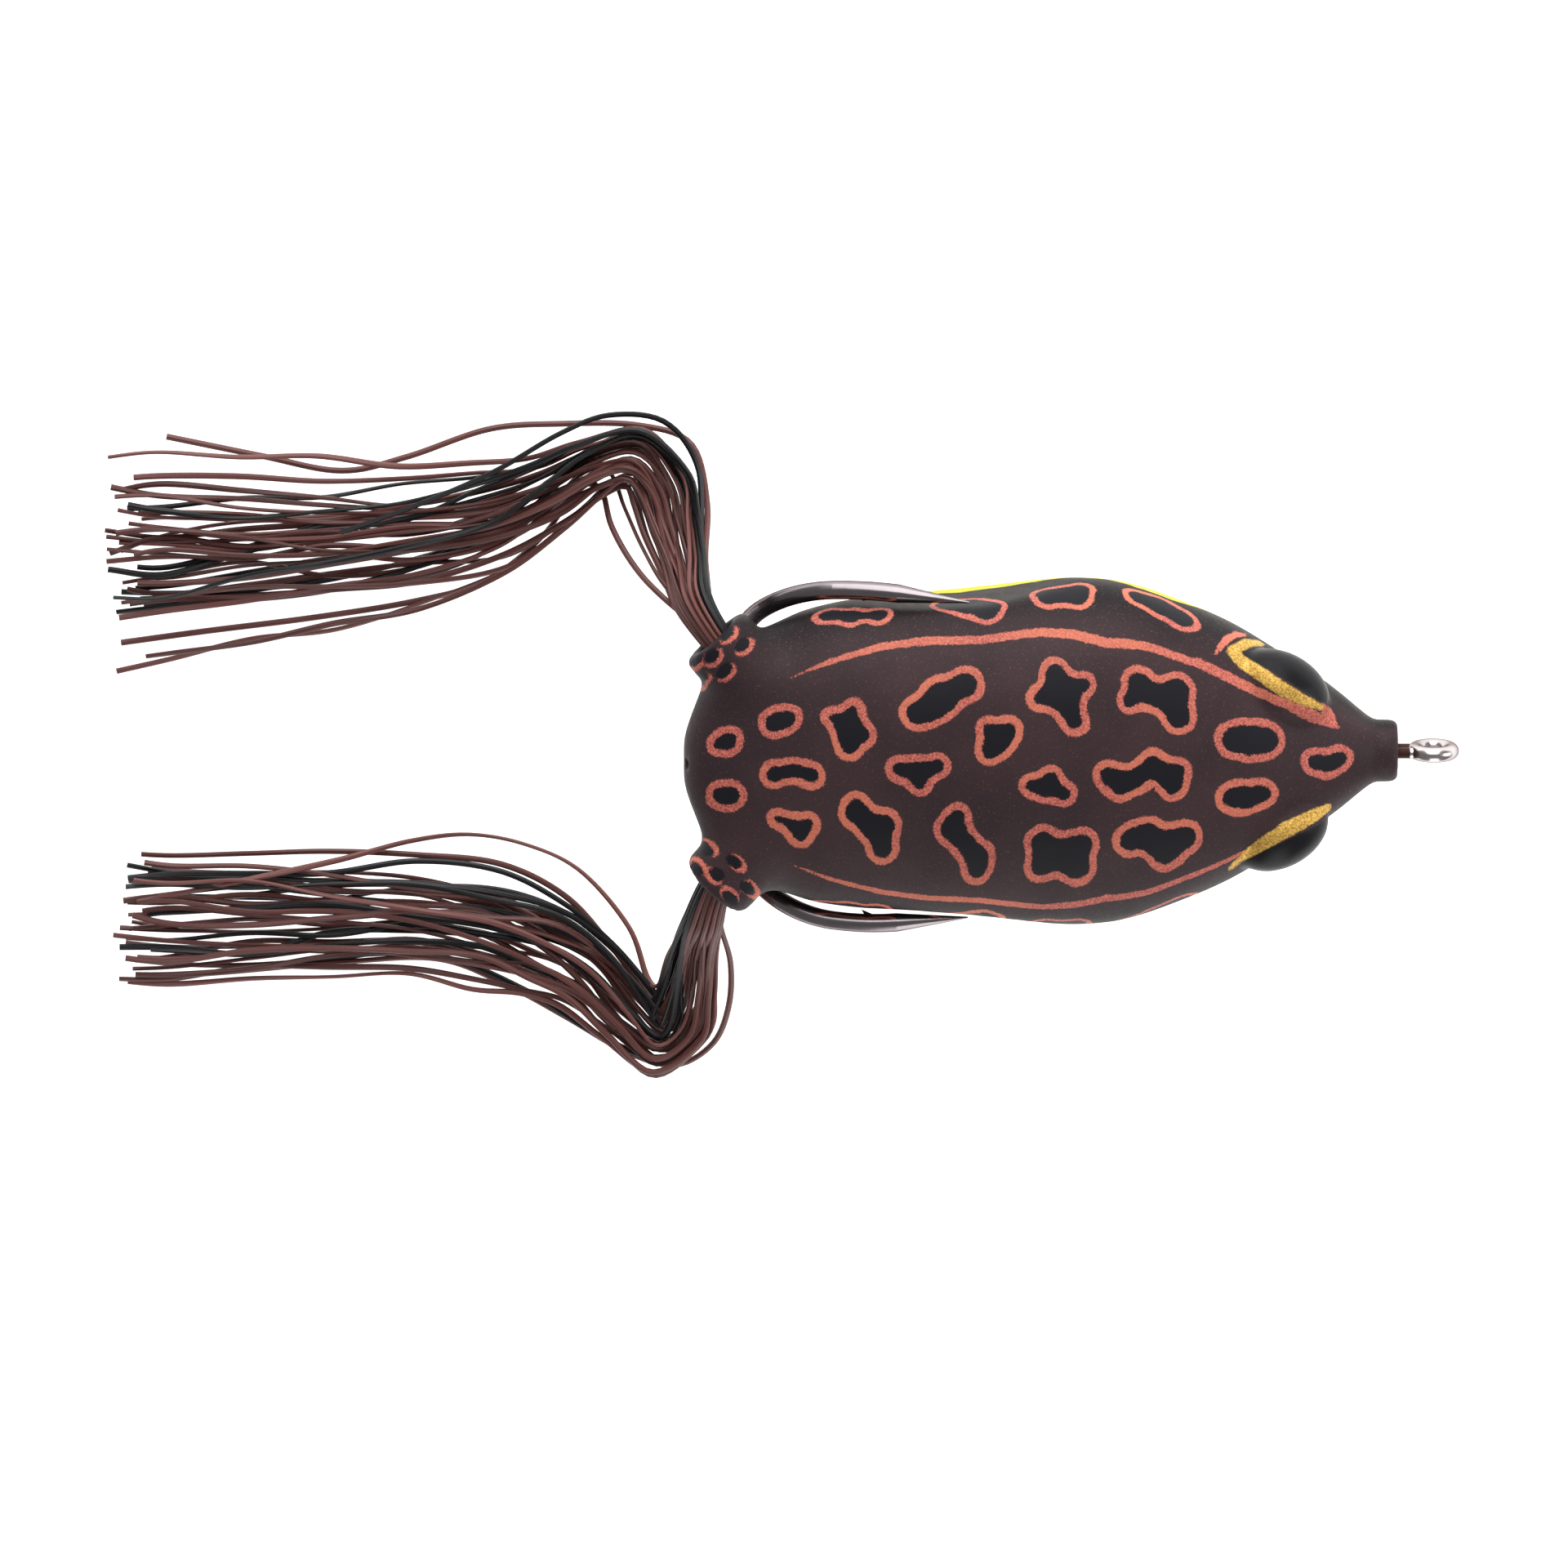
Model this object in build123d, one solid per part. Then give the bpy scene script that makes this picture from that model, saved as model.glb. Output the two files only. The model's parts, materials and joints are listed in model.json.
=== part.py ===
from build123d import *

import math
import os

# Hollow-body topwater frog lure, in millimetres.
# Frame: +X towards the nose, +Y to the frog's left, +Z up, origin at the centre of the line-tie ring.
# The lure stands on its belly, and its two skirt legs lie on the same floor.

# ---- driving dimensions: body -------------------------------------------------------------------
FLOOR_Z = -9.5                # what the belly and the legs rest on
NOSE_FACE_X = -3.2            # front face of the nose collar
BODY_LENGTH = 65.0            # nose face to tail
COLLAR_RADIUS = 2.85
COLLAR_LENGTH = 2.5
COLLAR_EDGE = 0.7             # rounding of the collar's front edge
WALL = 1.8                    # soft plastic wall of the body
SECTION_POWER = 2.15          # 2 is an ellipse, more is squarer
SECTION_POINTS = 20

# Stations along the body: distance behind the nose face, half-width, top, bottom, and the height of
# the widest line. The belly rises behind the hooks' exit, and the tail is a blunt round end.
BODY_STATIONS = [
    (2.2, 2.85, 2.85, -2.85, 0.0),
    (4.2, 4.4, 3.9, -4.2, 0.0),
    (7.0, 6.6, 5.2, -5.9, 0.0),
    (10.5, 8.9, 6.8, -7.4, 0.0),
    (15.0, 11.7, 8.4, -8.7, 0.0),
    (20.0, 13.95, 9.6, -9.35, 0.0),
    (25.5, 15.75, 10.3, FLOOR_Z, 0.0),
    (31.0, 16.1, 10.7, FLOOR_Z, 0.0),
    (37.0, 15.8, 10.7, FLOOR_Z, 0.0),
    (43.0, 15.2, 10.3, -9.2, 0.3),
    (49.0, 14.4, 9.7, -8.2, 0.9),
    (54.0, 13.5, 9.0, -6.2, 1.6),
    (58.0, 11.9, 8.4, -3.9, 2.3),
    (61.0, 9.9, 7.7, -1.9, 2.9),
    (63.4, 6.9, 6.7, 0.0, 3.3),
    (64.6, 3.9, 5.4, 1.6, 3.5),
    (BODY_LENGTH, 1.6, 4.3, 2.7, 3.5),
]
CAVITY_FIRST, CAVITY_LAST = 1, 14   # the stations that the hollow spans
CAVITY_FRONT_WALL = 1.3             # the wall is thinner just behind the collar
LINK_ROOM_RADIUS = 2.45             # round pocket behind the nose sleeve for the line tie's rear loop

EYE_CENTRE = (-14.0, 6.7, 3.4)      # left eye; the right one is its mirror image
EYE_RADII = (4.7, 3.3, 3.5)
EYE_YAW = -29.0                     # degrees: each eye follows the taper of the head

SOCKET_RIM = (-65.4, 11.75, 4.0)    # centre of the left leg socket's rim
SOCKET_AXIS = (-0.66, 0.74, -0.08)  # the way the left leg leaves
SOCKET_LENGTH = 6.5
SOCKET_BASE_RADIUS = 3.7
SOCKET_RIM_RADIUS = 3.5
SOCKET_EDGE = 0.6
SOCKET_BORE = 2.1
SOCKET_BORE_DEPTH = 8.5              # from the rim through into the hollow

SLOT_FRONT_X, SLOT_REAR_X = -29.0, -56.5
SLOT_HALF_WIDTH = 2.6
SLOT_ROOF_Z = -4.5
SLOT_CORNER = 2.5                   # rounding of the slot's ends
RELIEF_RADIUS = 60.0                # shallow scoop in each flank, which the hook point travels over
RELIEF_DEEPEST = (-48.5, 14.15)     # where the scoop comes nearest to the middle: x, y
RELIEF_HEIGHT = 14.0
DRAIN_RADIUS = 0.5
DRAIN_Z = 4.6
DRAIN_DEPTH = 5.4                   # from the tail into the hollow
CUT_MARGIN = 1.0                    # how far a cutting solid runs past what it cuts

# ---- driving dimensions: metalwork --------------------------------------------------------------
RING_WIRE = 0.7                # wire radius of the line-tie ring
RING_RADIUS = 1.65             # to the middle of the wire
RING_LAND = 1.0                # radius of the small flat worn inside the ring
STEM_WIRE = 0.65
TAIL_END_RADIUS = 0.5          # cut end of the wire, laid beside the stem
TAIL_END_HIDDEN = 0.6          # how far it runs into the sleeve
SLEEVE_RADIUS = 2.0
SLEEVE_BORE = 0.72
SLEEVE_LENGTH = 2.5
SLEEVE_SETBACK = 0.1           # behind the collar's face
SLEEVE_MOUTH = (1.7, 0.9)      # radius and depth of the recess in its front face

HOOK_PIVOT = (-8.5, 0.0, 0.0)  # where the hook's eye hangs in the line tie's rear loop
HOOK_TILT = 10.0               # degrees: the shanks run down from the nose to the belly slot
HOOK_WIRE = 0.85
EYE_LOOP_RADIUS = 2.0
LINK_RADIUS = 1.7              # rear loop of the line-tie wire
SHANK_OFFSET = 0.95            # each shank's distance from the middle
HOOK_ROLL = 34.0               # degrees: each hook opens this far above the horizontal
BEND_START = -46.3             # along the shank from the pivot
BEND_RADIUS = 8.4
# After the bend the hook straightens in two gentler arcs: radius and the slope where each ends.
BEND_END_SLOPE = 40.0
SHOULDER = (12.0, 5.0)
FRONT_LEG = (28.0, -7.0)
POINT_LENGTH = 6.5             # tapered tip at the end of the front leg
POINT_RADIUS = 0.08
BARB_PLACE = 0.6               # fraction of the front leg
BARB_LENGTH, BARB_HEIGHT = 2.0, 0.4
BARB_THICKNESS = 0.4

WEIGHT_X = (-47.0, -35.5)
WEIGHT_Z = (-9.3, -4.4)
WEIGHT_HALF_WIDTH = 2.1
WEIGHT_CORNER = 1.8            # rounding of its upright edges
WEIGHT_EDGE = 0.8              # rounding of its lower edge
SOLDER_SPAN = (-6.0, -24.0)    # along the shank from the pivot
SOLDER_SIZE = (1.5, 1.0)

# ---- driving dimensions: skirt legs -------------------------------------------------------------
BUNDLE_RADIUS = 1.7            # the strands where the band squeezes them
BAND_LENGTH = 3.0
ROOT_KNOT_RADIUS = 2.1         # folded ends of the strands, inside the body
ROOT_DEPTH = 8.0               # from the rim to the knot
KNOT_DROP = 1.4                # the knot hangs this far below the socket's axis
HIP_STANDOFF = 0.8             # the hip bends this far outside the rim
HIP_BALL = 1.55
ROOT_GAP = 0.4
KNEE_RADIUS = 2.0
KNEE_GAP = 1.5
BLACK_SHARE = 0.25             # of the bundle's width, on its right as it runs from hip to tips
COLOUR_GAP = 0.4               # between the brown strands and the black ones

# Each leg by name: side (+1 left), the knee, and the middle line of the strands from hip to knee
# and from knee to tips: x, y, z, half-width, half-height.
LEGS = {
    "left": {
        "side": 1,
        "knee": (-71.6, 25.4, -5.6),
        "thigh": [(-67.2, 15.6, 2.6, 2.1, 2.0), (-68.4, 19.4, -0.8, 2.6, 2.3),
                  (-69.8, 22.6, -3.8, 2.7, 2.6), (-71.0, 24.8, -5.4, 2.4, 2.6)],
        "shin": [(-74.6, 25.0, -6.0, 2.2, 2.5), (-79.0, 23.6, -6.4, 4.2, 2.6),
                 (-87.0, 20.6, -7.0, 5.6, 2.2), (-98.0, 18.3, -7.3, 6.2, 1.95),
                 (-110.0, 17.4, -7.4, 7.6, 1.9), (-119.0, 16.6, -7.4, 7.0, 1.9)],
    },
    "right": {
        "side": -1,
        "knee": (-70.3, -29.0, -5.8),
        "thigh": [(-66.9, -15.8, 2.6, 2.1, 2.0), (-67.6, -20.2, -0.8, 2.6, 2.3),
                  (-68.5, -24.6, -3.8, 2.7, 2.6), (-69.6, -28.0, -5.5, 2.4, 2.6)],
        "shin": [(-73.2, -27.8, -6.1, 2.2, 2.5), (-77.6, -24.6, -6.5, 3.9, 2.6),
                 (-86.0, -18.8, -7.0, 5.4, 2.2), (-98.0, -16.4, -7.3, 5.4, 1.95),
                 (-110.0, -16.9, -7.4, 6.2, 1.9), (-120.0, -17.3, -7.4, 6.2, 1.9)],
    },
}


# ---- body ---------------------------------------------------------------------------------------
def body_section(station, inset=0.0):
    """One closed cross-section of the body, as a face square to X."""
    distance, half_width, top, bottom, widest = station
    points = []
    for step in range(SECTION_POINTS):
        angle = 2 * math.pi * step / SECTION_POINTS
        across = math.copysign(abs(math.cos(angle)) ** (2 / SECTION_POWER), math.cos(angle))
        up = math.copysign(abs(math.sin(angle)) ** (2 / SECTION_POWER), math.sin(angle))
        height = (top - inset - widest) if up > 0 else (widest - bottom - inset)
        y, z = (half_width - inset) * across, widest + height * up
        points.append(Vector(NOSE_FACE_X - distance, y, z))
    outline = Spline(*points, periodic=True)
    return Face(Wire([outline]))


def cavity_section(index):
    wall = CAVITY_FRONT_WALL if index == CAVITY_FIRST else WALL
    return body_section(BODY_STATIONS[index], wall)


def along_x(radius, x_from, x_to):
    """A cylinder about the X axis between two stations."""
    middle = (x_from + x_to) / 2
    return Pos(middle, 0, 0) * (Rot(0, 90, 0) * Cylinder(radius, abs(x_to - x_from)))


def nose_collar():
    collar = along_x(COLLAR_RADIUS, NOSE_FACE_X, NOSE_FACE_X - COLLAR_LENGTH)
    return fillet(collar.edges().sort_by(Axis.X)[-1], COLLAR_EDGE)


def eye_dome(side):
    """An ellipsoid whose poles lie along its length, so that both are buried in the head."""
    x, y, z = EYE_CENTRE
    dome = scale(Rot(0, 90, 0) * Sphere(1), by=EYE_RADII)
    return Pos(x, side * y, z) * (Rot(0, 0, side * EYE_YAW) * dome)


def socket_plane(side, standoff=0.0):
    """A plane on the socket's axis, facing the way the leg leaves, standoff outside the rim."""
    axis = Vector(SOCKET_AXIS[0], side * SOCKET_AXIS[1], SOCKET_AXIS[2]).normalized()
    rim = Vector(SOCKET_RIM[0], side * SOCKET_RIM[1], SOCKET_RIM[2])
    return Plane(origin=rim + axis * standoff, z_dir=axis)


def leg_socket(side):
    stub = Pos(0, 0, -SOCKET_LENGTH / 2) * Cone(SOCKET_BASE_RADIUS, SOCKET_RIM_RADIUS, SOCKET_LENGTH)
    stub = fillet(stub.edges().sort_by(Axis.Z)[-1], SOCKET_EDGE)
    return socket_plane(side) * stub


def socket_bore(side):
    bore = Cylinder(SOCKET_BORE, SOCKET_BORE_DEPTH + CUT_MARGIN)
    return socket_plane(side) * Pos(0, 0, (CUT_MARGIN - SOCKET_BORE_DEPTH) / 2) * bore


def box_between(x_span, y_span, z_span):
    """A box given by its lowest and highest coordinate on each axis."""
    size = [max(span) - min(span) for span in (x_span, y_span, z_span)]
    middle = [(max(span) + min(span)) / 2 for span in (x_span, y_span, z_span)]
    return Pos(*middle) * Box(*size)


def belly_slot():
    across = (-SLOT_HALF_WIDTH, SLOT_HALF_WIDTH)
    slot = box_between((SLOT_REAR_X, SLOT_FRONT_X), across, (FLOOR_Z - CUT_MARGIN, SLOT_ROOF_Z))
    return fillet(slot.edges().filter_by(Axis.Z), SLOT_CORNER)


def hook_relief(side):
    """Scoops the flank where the hook point passes as the hook swings."""
    x, y = RELIEF_DEEPEST
    return Pos(x, side * (y + RELIEF_RADIUS), 0) * Cylinder(RELIEF_RADIUS, RELIEF_HEIGHT)


def drain_hole():
    tail_x = NOSE_FACE_X - BODY_LENGTH
    return Pos(0, 0, DRAIN_Z) * along_x(DRAIN_RADIUS, tail_x - CUT_MARGIN, tail_x + DRAIN_DEPTH)


def body_shell():
    shell = loft([body_section(station) for station in BODY_STATIONS])
    shell += nose_collar()
    for side in (1, -1):
        shell += eye_dome(side)
        shell += leg_socket(side)
    shell -= loft([cavity_section(index) for index in range(CAVITY_FIRST, CAVITY_LAST + 1)])
    sleeve_end = NOSE_FACE_X - SLEEVE_SETBACK - SLEEVE_LENGTH
    shell -= along_x(SLEEVE_RADIUS, NOSE_FACE_X + CUT_MARGIN, sleeve_end)
    shell -= along_x(LINK_ROOM_RADIUS, sleeve_end, HOOK_PIVOT[0])
    for side in (1, -1):
        shell -= socket_bore(side)
        shell -= hook_relief(side)
    shell -= belly_slot()
    shell -= drain_hole()
    return shell


# ---- line tie -----------------------------------------------------------------------------------
def nose_sleeve():
    front = NOSE_FACE_X - SLEEVE_SETBACK
    rear = front - SLEEVE_LENGTH
    sleeve = along_x(SLEEVE_RADIUS, front, rear)
    sleeve -= along_x(SLEEVE_BORE, front + CUT_MARGIN, rear - CUT_MARGIN)
    mouth_radius, mouth_depth = SLEEVE_MOUTH
    return sleeve - along_x(mouth_radius, front + CUT_MARGIN, front - mouth_depth)


def upright_ring(radius, wire, centre_x):
    """A wire ring in the XZ plane."""
    return Pos(centre_x, 0, 0) * (Rot(90, 0, 0) * Torus(radius, wire))


def line_tie_wire():
    """Ring, stem and rear loop, with the wire's cut end laid beside the stem."""
    wire = upright_ring(RING_RADIUS, RING_WIRE, 0)
    wire += along_x(STEM_WIRE, -RING_RADIUS, HOOK_PIVOT[0] + LINK_RADIUS)
    wire += upright_ring(LINK_RADIUS, STEM_WIRE, HOOK_PIVOT[0])
    cut_end = along_x(TAIL_END_RADIUS, -RING_RADIUS, NOSE_FACE_X - TAIL_END_HIDDEN)
    wire += Pos(0, 0, STEM_WIRE + TAIL_END_RADIUS / 2) * cut_end
    return wire - Rot(90, 0, 0) * Cylinder(RING_LAND, 4 * RING_WIRE)


# ---- double hook --------------------------------------------------------------------------------
def hook_place():
    """Moves the hook from its own frame, shank along X from the pivot, to where it lies."""
    return Pos(*HOOK_PIVOT) * Rot(0, -HOOK_TILT, 0)


def hook_profile():
    """One hook in its own plane: shank back along -X, round the bend and forward to the point."""
    eye_back = -2 * EYE_LOOP_RADIUS
    shank = Line((eye_back, 0), (BEND_START, 0))
    bend = JernArc(shank @ 1, (-1, 0), BEND_RADIUS, -(180 - BEND_END_SLOPE))
    shoulder = JernArc(bend @ 1, bend % 1, SHOULDER[0], SHOULDER[1] - BEND_END_SLOPE)
    front_leg = JernArc(shoulder @ 1, shoulder % 1, FRONT_LEG[0], FRONT_LEG[1] - SHOULDER[1])
    return [shank, bend, shoulder, front_leg]


def tube(edge, radius):
    """A round wire along one edge."""
    section = Plane(origin=edge @ 0, z_dir=edge % 0) * Circle(radius)
    return sweep(section, path=edge)


def hook_point(front_leg):
    """The sharpened end: a slim cone that runs on from the front leg."""
    start = Plane(origin=front_leg @ 1, z_dir=front_leg % 1)
    return start * Pos(0, 0, POINT_LENGTH / 2) * Cone(HOOK_WIRE, POINT_RADIUS, POINT_LENGTH)


def hook_barb(front_leg):
    """A small raised sliver on the inner side, behind the point."""
    foot = front_leg @ BARB_PLACE
    along = front_leg % BARB_PLACE
    inward = Vector(along.Y, -along.X)
    tip = foot - along * (BARB_LENGTH / 2) + inward * (HOOK_WIRE + BARB_HEIGHT)
    front = foot + along * (BARB_LENGTH / 2) + inward * (HOOK_WIRE / 2)
    rear = foot - along * (BARB_LENGTH / 4) + inward * (HOOK_WIRE / 2)
    sliver = Polyline(front, rear, tip, close=True)
    return extrude(make_face(sliver), amount=BARB_THICKNESS / 2, both=True)


def single_hook():
    """One hook lying in the XY plane of its own frame, shank along X."""
    profile = hook_profile()
    wire = tube(profile[0], HOOK_WIRE)
    for edge in profile[1:]:
        wire += tube(edge, HOOK_WIRE)
    wire += hook_point(profile[-1])
    return wire + hook_barb(profile[-1])


def eye_loop():
    """The bent wire between the two shanks, a flat ring round the line tie's rear loop."""
    return Pos(-EYE_LOOP_RADIUS, 0, 0) * Torus(EYE_LOOP_RADIUS, HOOK_WIRE)


def double_hook():
    left = Pos(0, SHANK_OFFSET, 0) * (Rot(HOOK_ROLL, 0, 0) * single_hook())
    right = mirror(left, about=Plane.XZ)
    return hook_place() * (left + right + eye_loop())


def shank_solder(hook):
    """Solder that fills the groove between the two shanks."""
    width, height = SOLDER_SIZE
    bar = box_between(SOLDER_SPAN, (-width / 2, width / 2), (-height / 2, height / 2))
    return hook_place() * bar - hook


def keel_weight(hook):
    """Weight cast round the shanks, flush with the belly in its slot."""
    half = WEIGHT_HALF_WIDTH
    block = box_between(WEIGHT_X, (-half, half), WEIGHT_Z)
    block = fillet(block.edges().filter_by(Axis.Z), WEIGHT_CORNER)
    block = fillet(block.edges().group_by(Axis.Z)[0], WEIGHT_EDGE)
    return block - hook


# ---- skirt legs ---------------------------------------------------------------------------------
def skirt_band(side):
    ring = Cylinder(SOCKET_BORE, BAND_LENGTH) - Cylinder(BUNDLE_RADIUS, BAND_LENGTH + CUT_MARGIN)
    return socket_plane(side, -SOCKET_LENGTH / 2) * ring


def skirt_root(side):
    """The strands inside the socket, with their folded ends as a knot behind it."""
    outer_end = HIP_STANDOFF - HIP_BALL - ROOT_GAP
    length = ROOT_DEPTH + outer_end
    inner_end = socket_plane(side, -ROOT_DEPTH)
    root = inner_end * Pos(0, 0, length / 2) * Cylinder(BUNDLE_RADIUS, length)
    knot_centre = inner_end.origin - Vector(0, 0, KNOT_DROP)
    return root + Pos(*knot_centre) * Sphere(ROOT_KNOT_RADIUS)


def level_direction(start, end):
    """The level direction from one station to the next."""
    return Vector(end[0] - start[0], end[1] - start[1], 0).normalized()


def sideways_share(station, direction, share):
    """The part of a bundle's station between two fractions of its width, -1 to 1 from right to left."""
    x, y, z, half_width, half_height = station
    low, high = share
    left = Vector(0, 0, 1).cross(direction)
    middle = Vector(x, y, z) + left * (half_width * (low + high) / 2)
    return middle, half_width * (high - low) / 2 - COLOUR_GAP / 2, half_height


def bundle(stations, share):
    """A closed solid in the outer shape of a run of strands: a loft of upright ovals."""
    sections = []
    for index, station in enumerate(stations):
        before = stations[max(index - 1, 0)]
        after = stations[min(index + 1, len(stations) - 1)]
        direction = level_direction(before, after)
        middle, half_width, half_height = sideways_share(station, direction, share)
        plane = Plane(origin=middle, x_dir=Vector(0, 0, 1).cross(direction), z_dir=direction)
        sections.append(plane * Ellipse(half_width, half_height))
    return loft(sections)


def colour_bundle(stations, colour):
    """The brown or the black part of a bundle."""
    edge = 2 * BLACK_SHARE - 1
    return bundle(stations, (-1, edge) if colour == "black" else (edge, 1))


def upright_cylinder(centre, radius):
    return Pos(*centre) * Cylinder(radius, 8 * KNEE_RADIUS)


def thigh(side, leg, colour):
    clearance = upright_cylinder(leg["knee"], KNEE_RADIUS + KNEE_GAP)
    if colour == "black":
        return colour_bundle(leg["thigh"], colour) - clearance
    hip = socket_plane(side, HIP_STANDOFF).origin
    hip_station = (hip.X, hip.Y, hip.Z, HIP_BALL, HIP_BALL - COLOUR_GAP)
    strands = colour_bundle([hip_station] + leg["thigh"], colour)
    return strands + Pos(*hip) * Sphere(HIP_BALL) - clearance


def shin(leg, colour):
    if colour == "black":
        return colour_bundle(leg["shin"], colour)
    x, y, z = leg["knee"]
    knee_station = (x, y, z, KNEE_RADIUS, leg["shin"][0][4])
    return colour_bundle([knee_station] + leg["shin"], colour)


def main():
    os.makedirs("parts", exist_ok=True)
    hook = double_hook()
    nodes = {
        "body_shell": body_shell(),
        "nose_sleeve": nose_sleeve(),
        "line_tie_wire": line_tie_wire(),
        "double_hook": hook,
        "shank_solder": shank_solder(hook),
        "keel_weight": keel_weight(hook),
    }
    for name, leg in LEGS.items():
        side = leg["side"]
        nodes[name + "_skirt_band"] = skirt_band(side)
        nodes[name + "_skirt_root"] = skirt_root(side)
        for colour in ("brown", "black"):
            nodes[name + "_thigh_" + colour] = thigh(side, leg, colour)
            nodes[name + "_shin_" + colour] = shin(leg, colour)
    for name, solid in nodes.items():
        export_step(solid, "parts/" + name + ".step")


main()
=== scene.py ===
import json
import math

import bmesh
import bpy
import numpy as np
from mathutils import Matrix, Vector


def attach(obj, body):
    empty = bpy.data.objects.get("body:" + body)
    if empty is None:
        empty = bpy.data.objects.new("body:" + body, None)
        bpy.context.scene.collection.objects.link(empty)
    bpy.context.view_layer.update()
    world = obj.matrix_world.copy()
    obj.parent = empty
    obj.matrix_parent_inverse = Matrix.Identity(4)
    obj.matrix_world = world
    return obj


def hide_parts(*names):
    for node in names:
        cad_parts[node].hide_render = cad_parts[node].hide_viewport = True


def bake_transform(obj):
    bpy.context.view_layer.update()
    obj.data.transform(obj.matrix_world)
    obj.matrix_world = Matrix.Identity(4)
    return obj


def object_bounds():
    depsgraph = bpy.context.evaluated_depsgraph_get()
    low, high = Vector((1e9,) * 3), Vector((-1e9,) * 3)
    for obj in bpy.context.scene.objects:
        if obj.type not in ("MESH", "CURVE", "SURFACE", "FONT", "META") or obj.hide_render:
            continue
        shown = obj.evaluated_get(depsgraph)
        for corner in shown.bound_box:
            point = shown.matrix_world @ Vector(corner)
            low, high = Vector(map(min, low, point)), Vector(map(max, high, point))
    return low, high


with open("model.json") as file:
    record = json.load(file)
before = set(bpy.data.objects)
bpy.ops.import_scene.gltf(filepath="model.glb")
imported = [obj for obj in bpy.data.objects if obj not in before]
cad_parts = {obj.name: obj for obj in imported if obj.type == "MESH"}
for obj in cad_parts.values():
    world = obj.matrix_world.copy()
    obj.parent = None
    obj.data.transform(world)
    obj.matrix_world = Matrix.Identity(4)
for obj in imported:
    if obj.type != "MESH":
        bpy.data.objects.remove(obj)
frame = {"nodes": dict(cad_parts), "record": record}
CAD_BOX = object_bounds()

# Hollow-body topwater frog lure. Sizes are in millimetres unless a name says otherwise, and go
# through MM where Blender needs metres. +X is the nose, +Y the frog's left, +Z up.
MM = 0.001
REST_Z = CAD_BOX[0][2] / MM         # what the lure and its strands lie on
FLOOR_DROP = 7.0                    # the floor is this much lower, so that the hook can swing down

# ---- camera -------------------------------------------------------------------------------------
VIEW_TILT = math.radians(15)        # the camera leans this far from straight above towards +Y
VIEW_CENTRE = (-59.1, -3.05)        # middle of the picture: along X, and up the picture
VIEW_WIDTH = 142.75
CAMERA_DISTANCE = 1200.0
SENSOR_WIDTH = 36.0

# ---- lights: place, size and power, in metres and watts -----------------------------------------
SOFT_LIGHTS = {
    "key_light": ((-0.05, 0.75, 0.36), (1.1, 0.7), 8.0),
    "fill_light": ((0.05, -0.8, 0.34), (0.9, 0.4), 2.6),
    "front_light": ((0.75, 0.1, 0.4), (0.5, 0.6), 2.4),
}
WORLD_STRENGTH = 0.22
FLOOR_GLOW = 0.85
FLOOR_REACH = 3000.0

# ---- body ---------------------------------------------------------------------------------------
SKIN_VOXEL = 0.33
SKIN_SMOOTHING = 5
JOIN_SMOOTHING = 160                # more passes where the sockets and scoops run into the body
SOCKET_JOIN = (-10.0, -7.5, -3.5, -1.6)   # along the socket's axis from its rim: none, full, full, none
SOCKET_JOIN_RADIUS = (6.0, 8.5)     # from the socket's axis: full, none
SCOOP_X = (-60.0, -57.0, -33.0, -28.0)    # the scoops that clear the hooks: none, full, full, none
SCOOP_Z = (-5.0, -2.0, 7.0, 9.0)
SCOOP_Y = 9.0                       # they are further out than this
SCOOP_SHARE = 0.3                   # of the sockets' smoothing
NOSE_FACE_X = -3.2
# Distance behind the nose face, half-width, top and bottom of the body, height of its widest line.
BODY_STATIONS = np.array([
    (0.0, 2.85, 2.85, -2.85, 0.0),
    (4.2, 4.4, 3.9, -4.2, 0.0),
    (10.5, 8.9, 6.8, -7.4, 0.0),
    (15.0, 11.7, 8.4, -8.7, 0.0),
    (20.0, 13.95, 9.6, -9.35, 0.0),
    (25.5, 15.75, 10.3, -9.5, 0.0),
    (31.0, 16.1, 10.7, -9.5, 0.0),
    (37.0, 15.8, 10.7, -9.5, 0.0),
    (43.0, 15.2, 10.3, -9.2, 0.3),
    (49.0, 14.4, 9.7, -8.2, 0.9),
    (54.0, 13.5, 9.0, -6.2, 1.6),
    (58.0, 11.9, 8.4, -3.9, 2.3),
    (61.0, 9.9, 7.7, -1.9, 2.9),
    (65.0, 5.0, 5.4, 1.6, 3.5),
])
EYE_CENTRE = (-14.0, 6.7, 3.4)
EYE_RADII = (4.7, 3.3, 3.5)
EYE_YAW = math.radians(29)
EYE_EDGE = 1.09                     # the black stops where the dome is this many times its radii
SOCKET_RIM = (-65.4, 11.75, 4.0)
SOCKET_AXIS = (-0.66, 0.74, -0.08)

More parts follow.
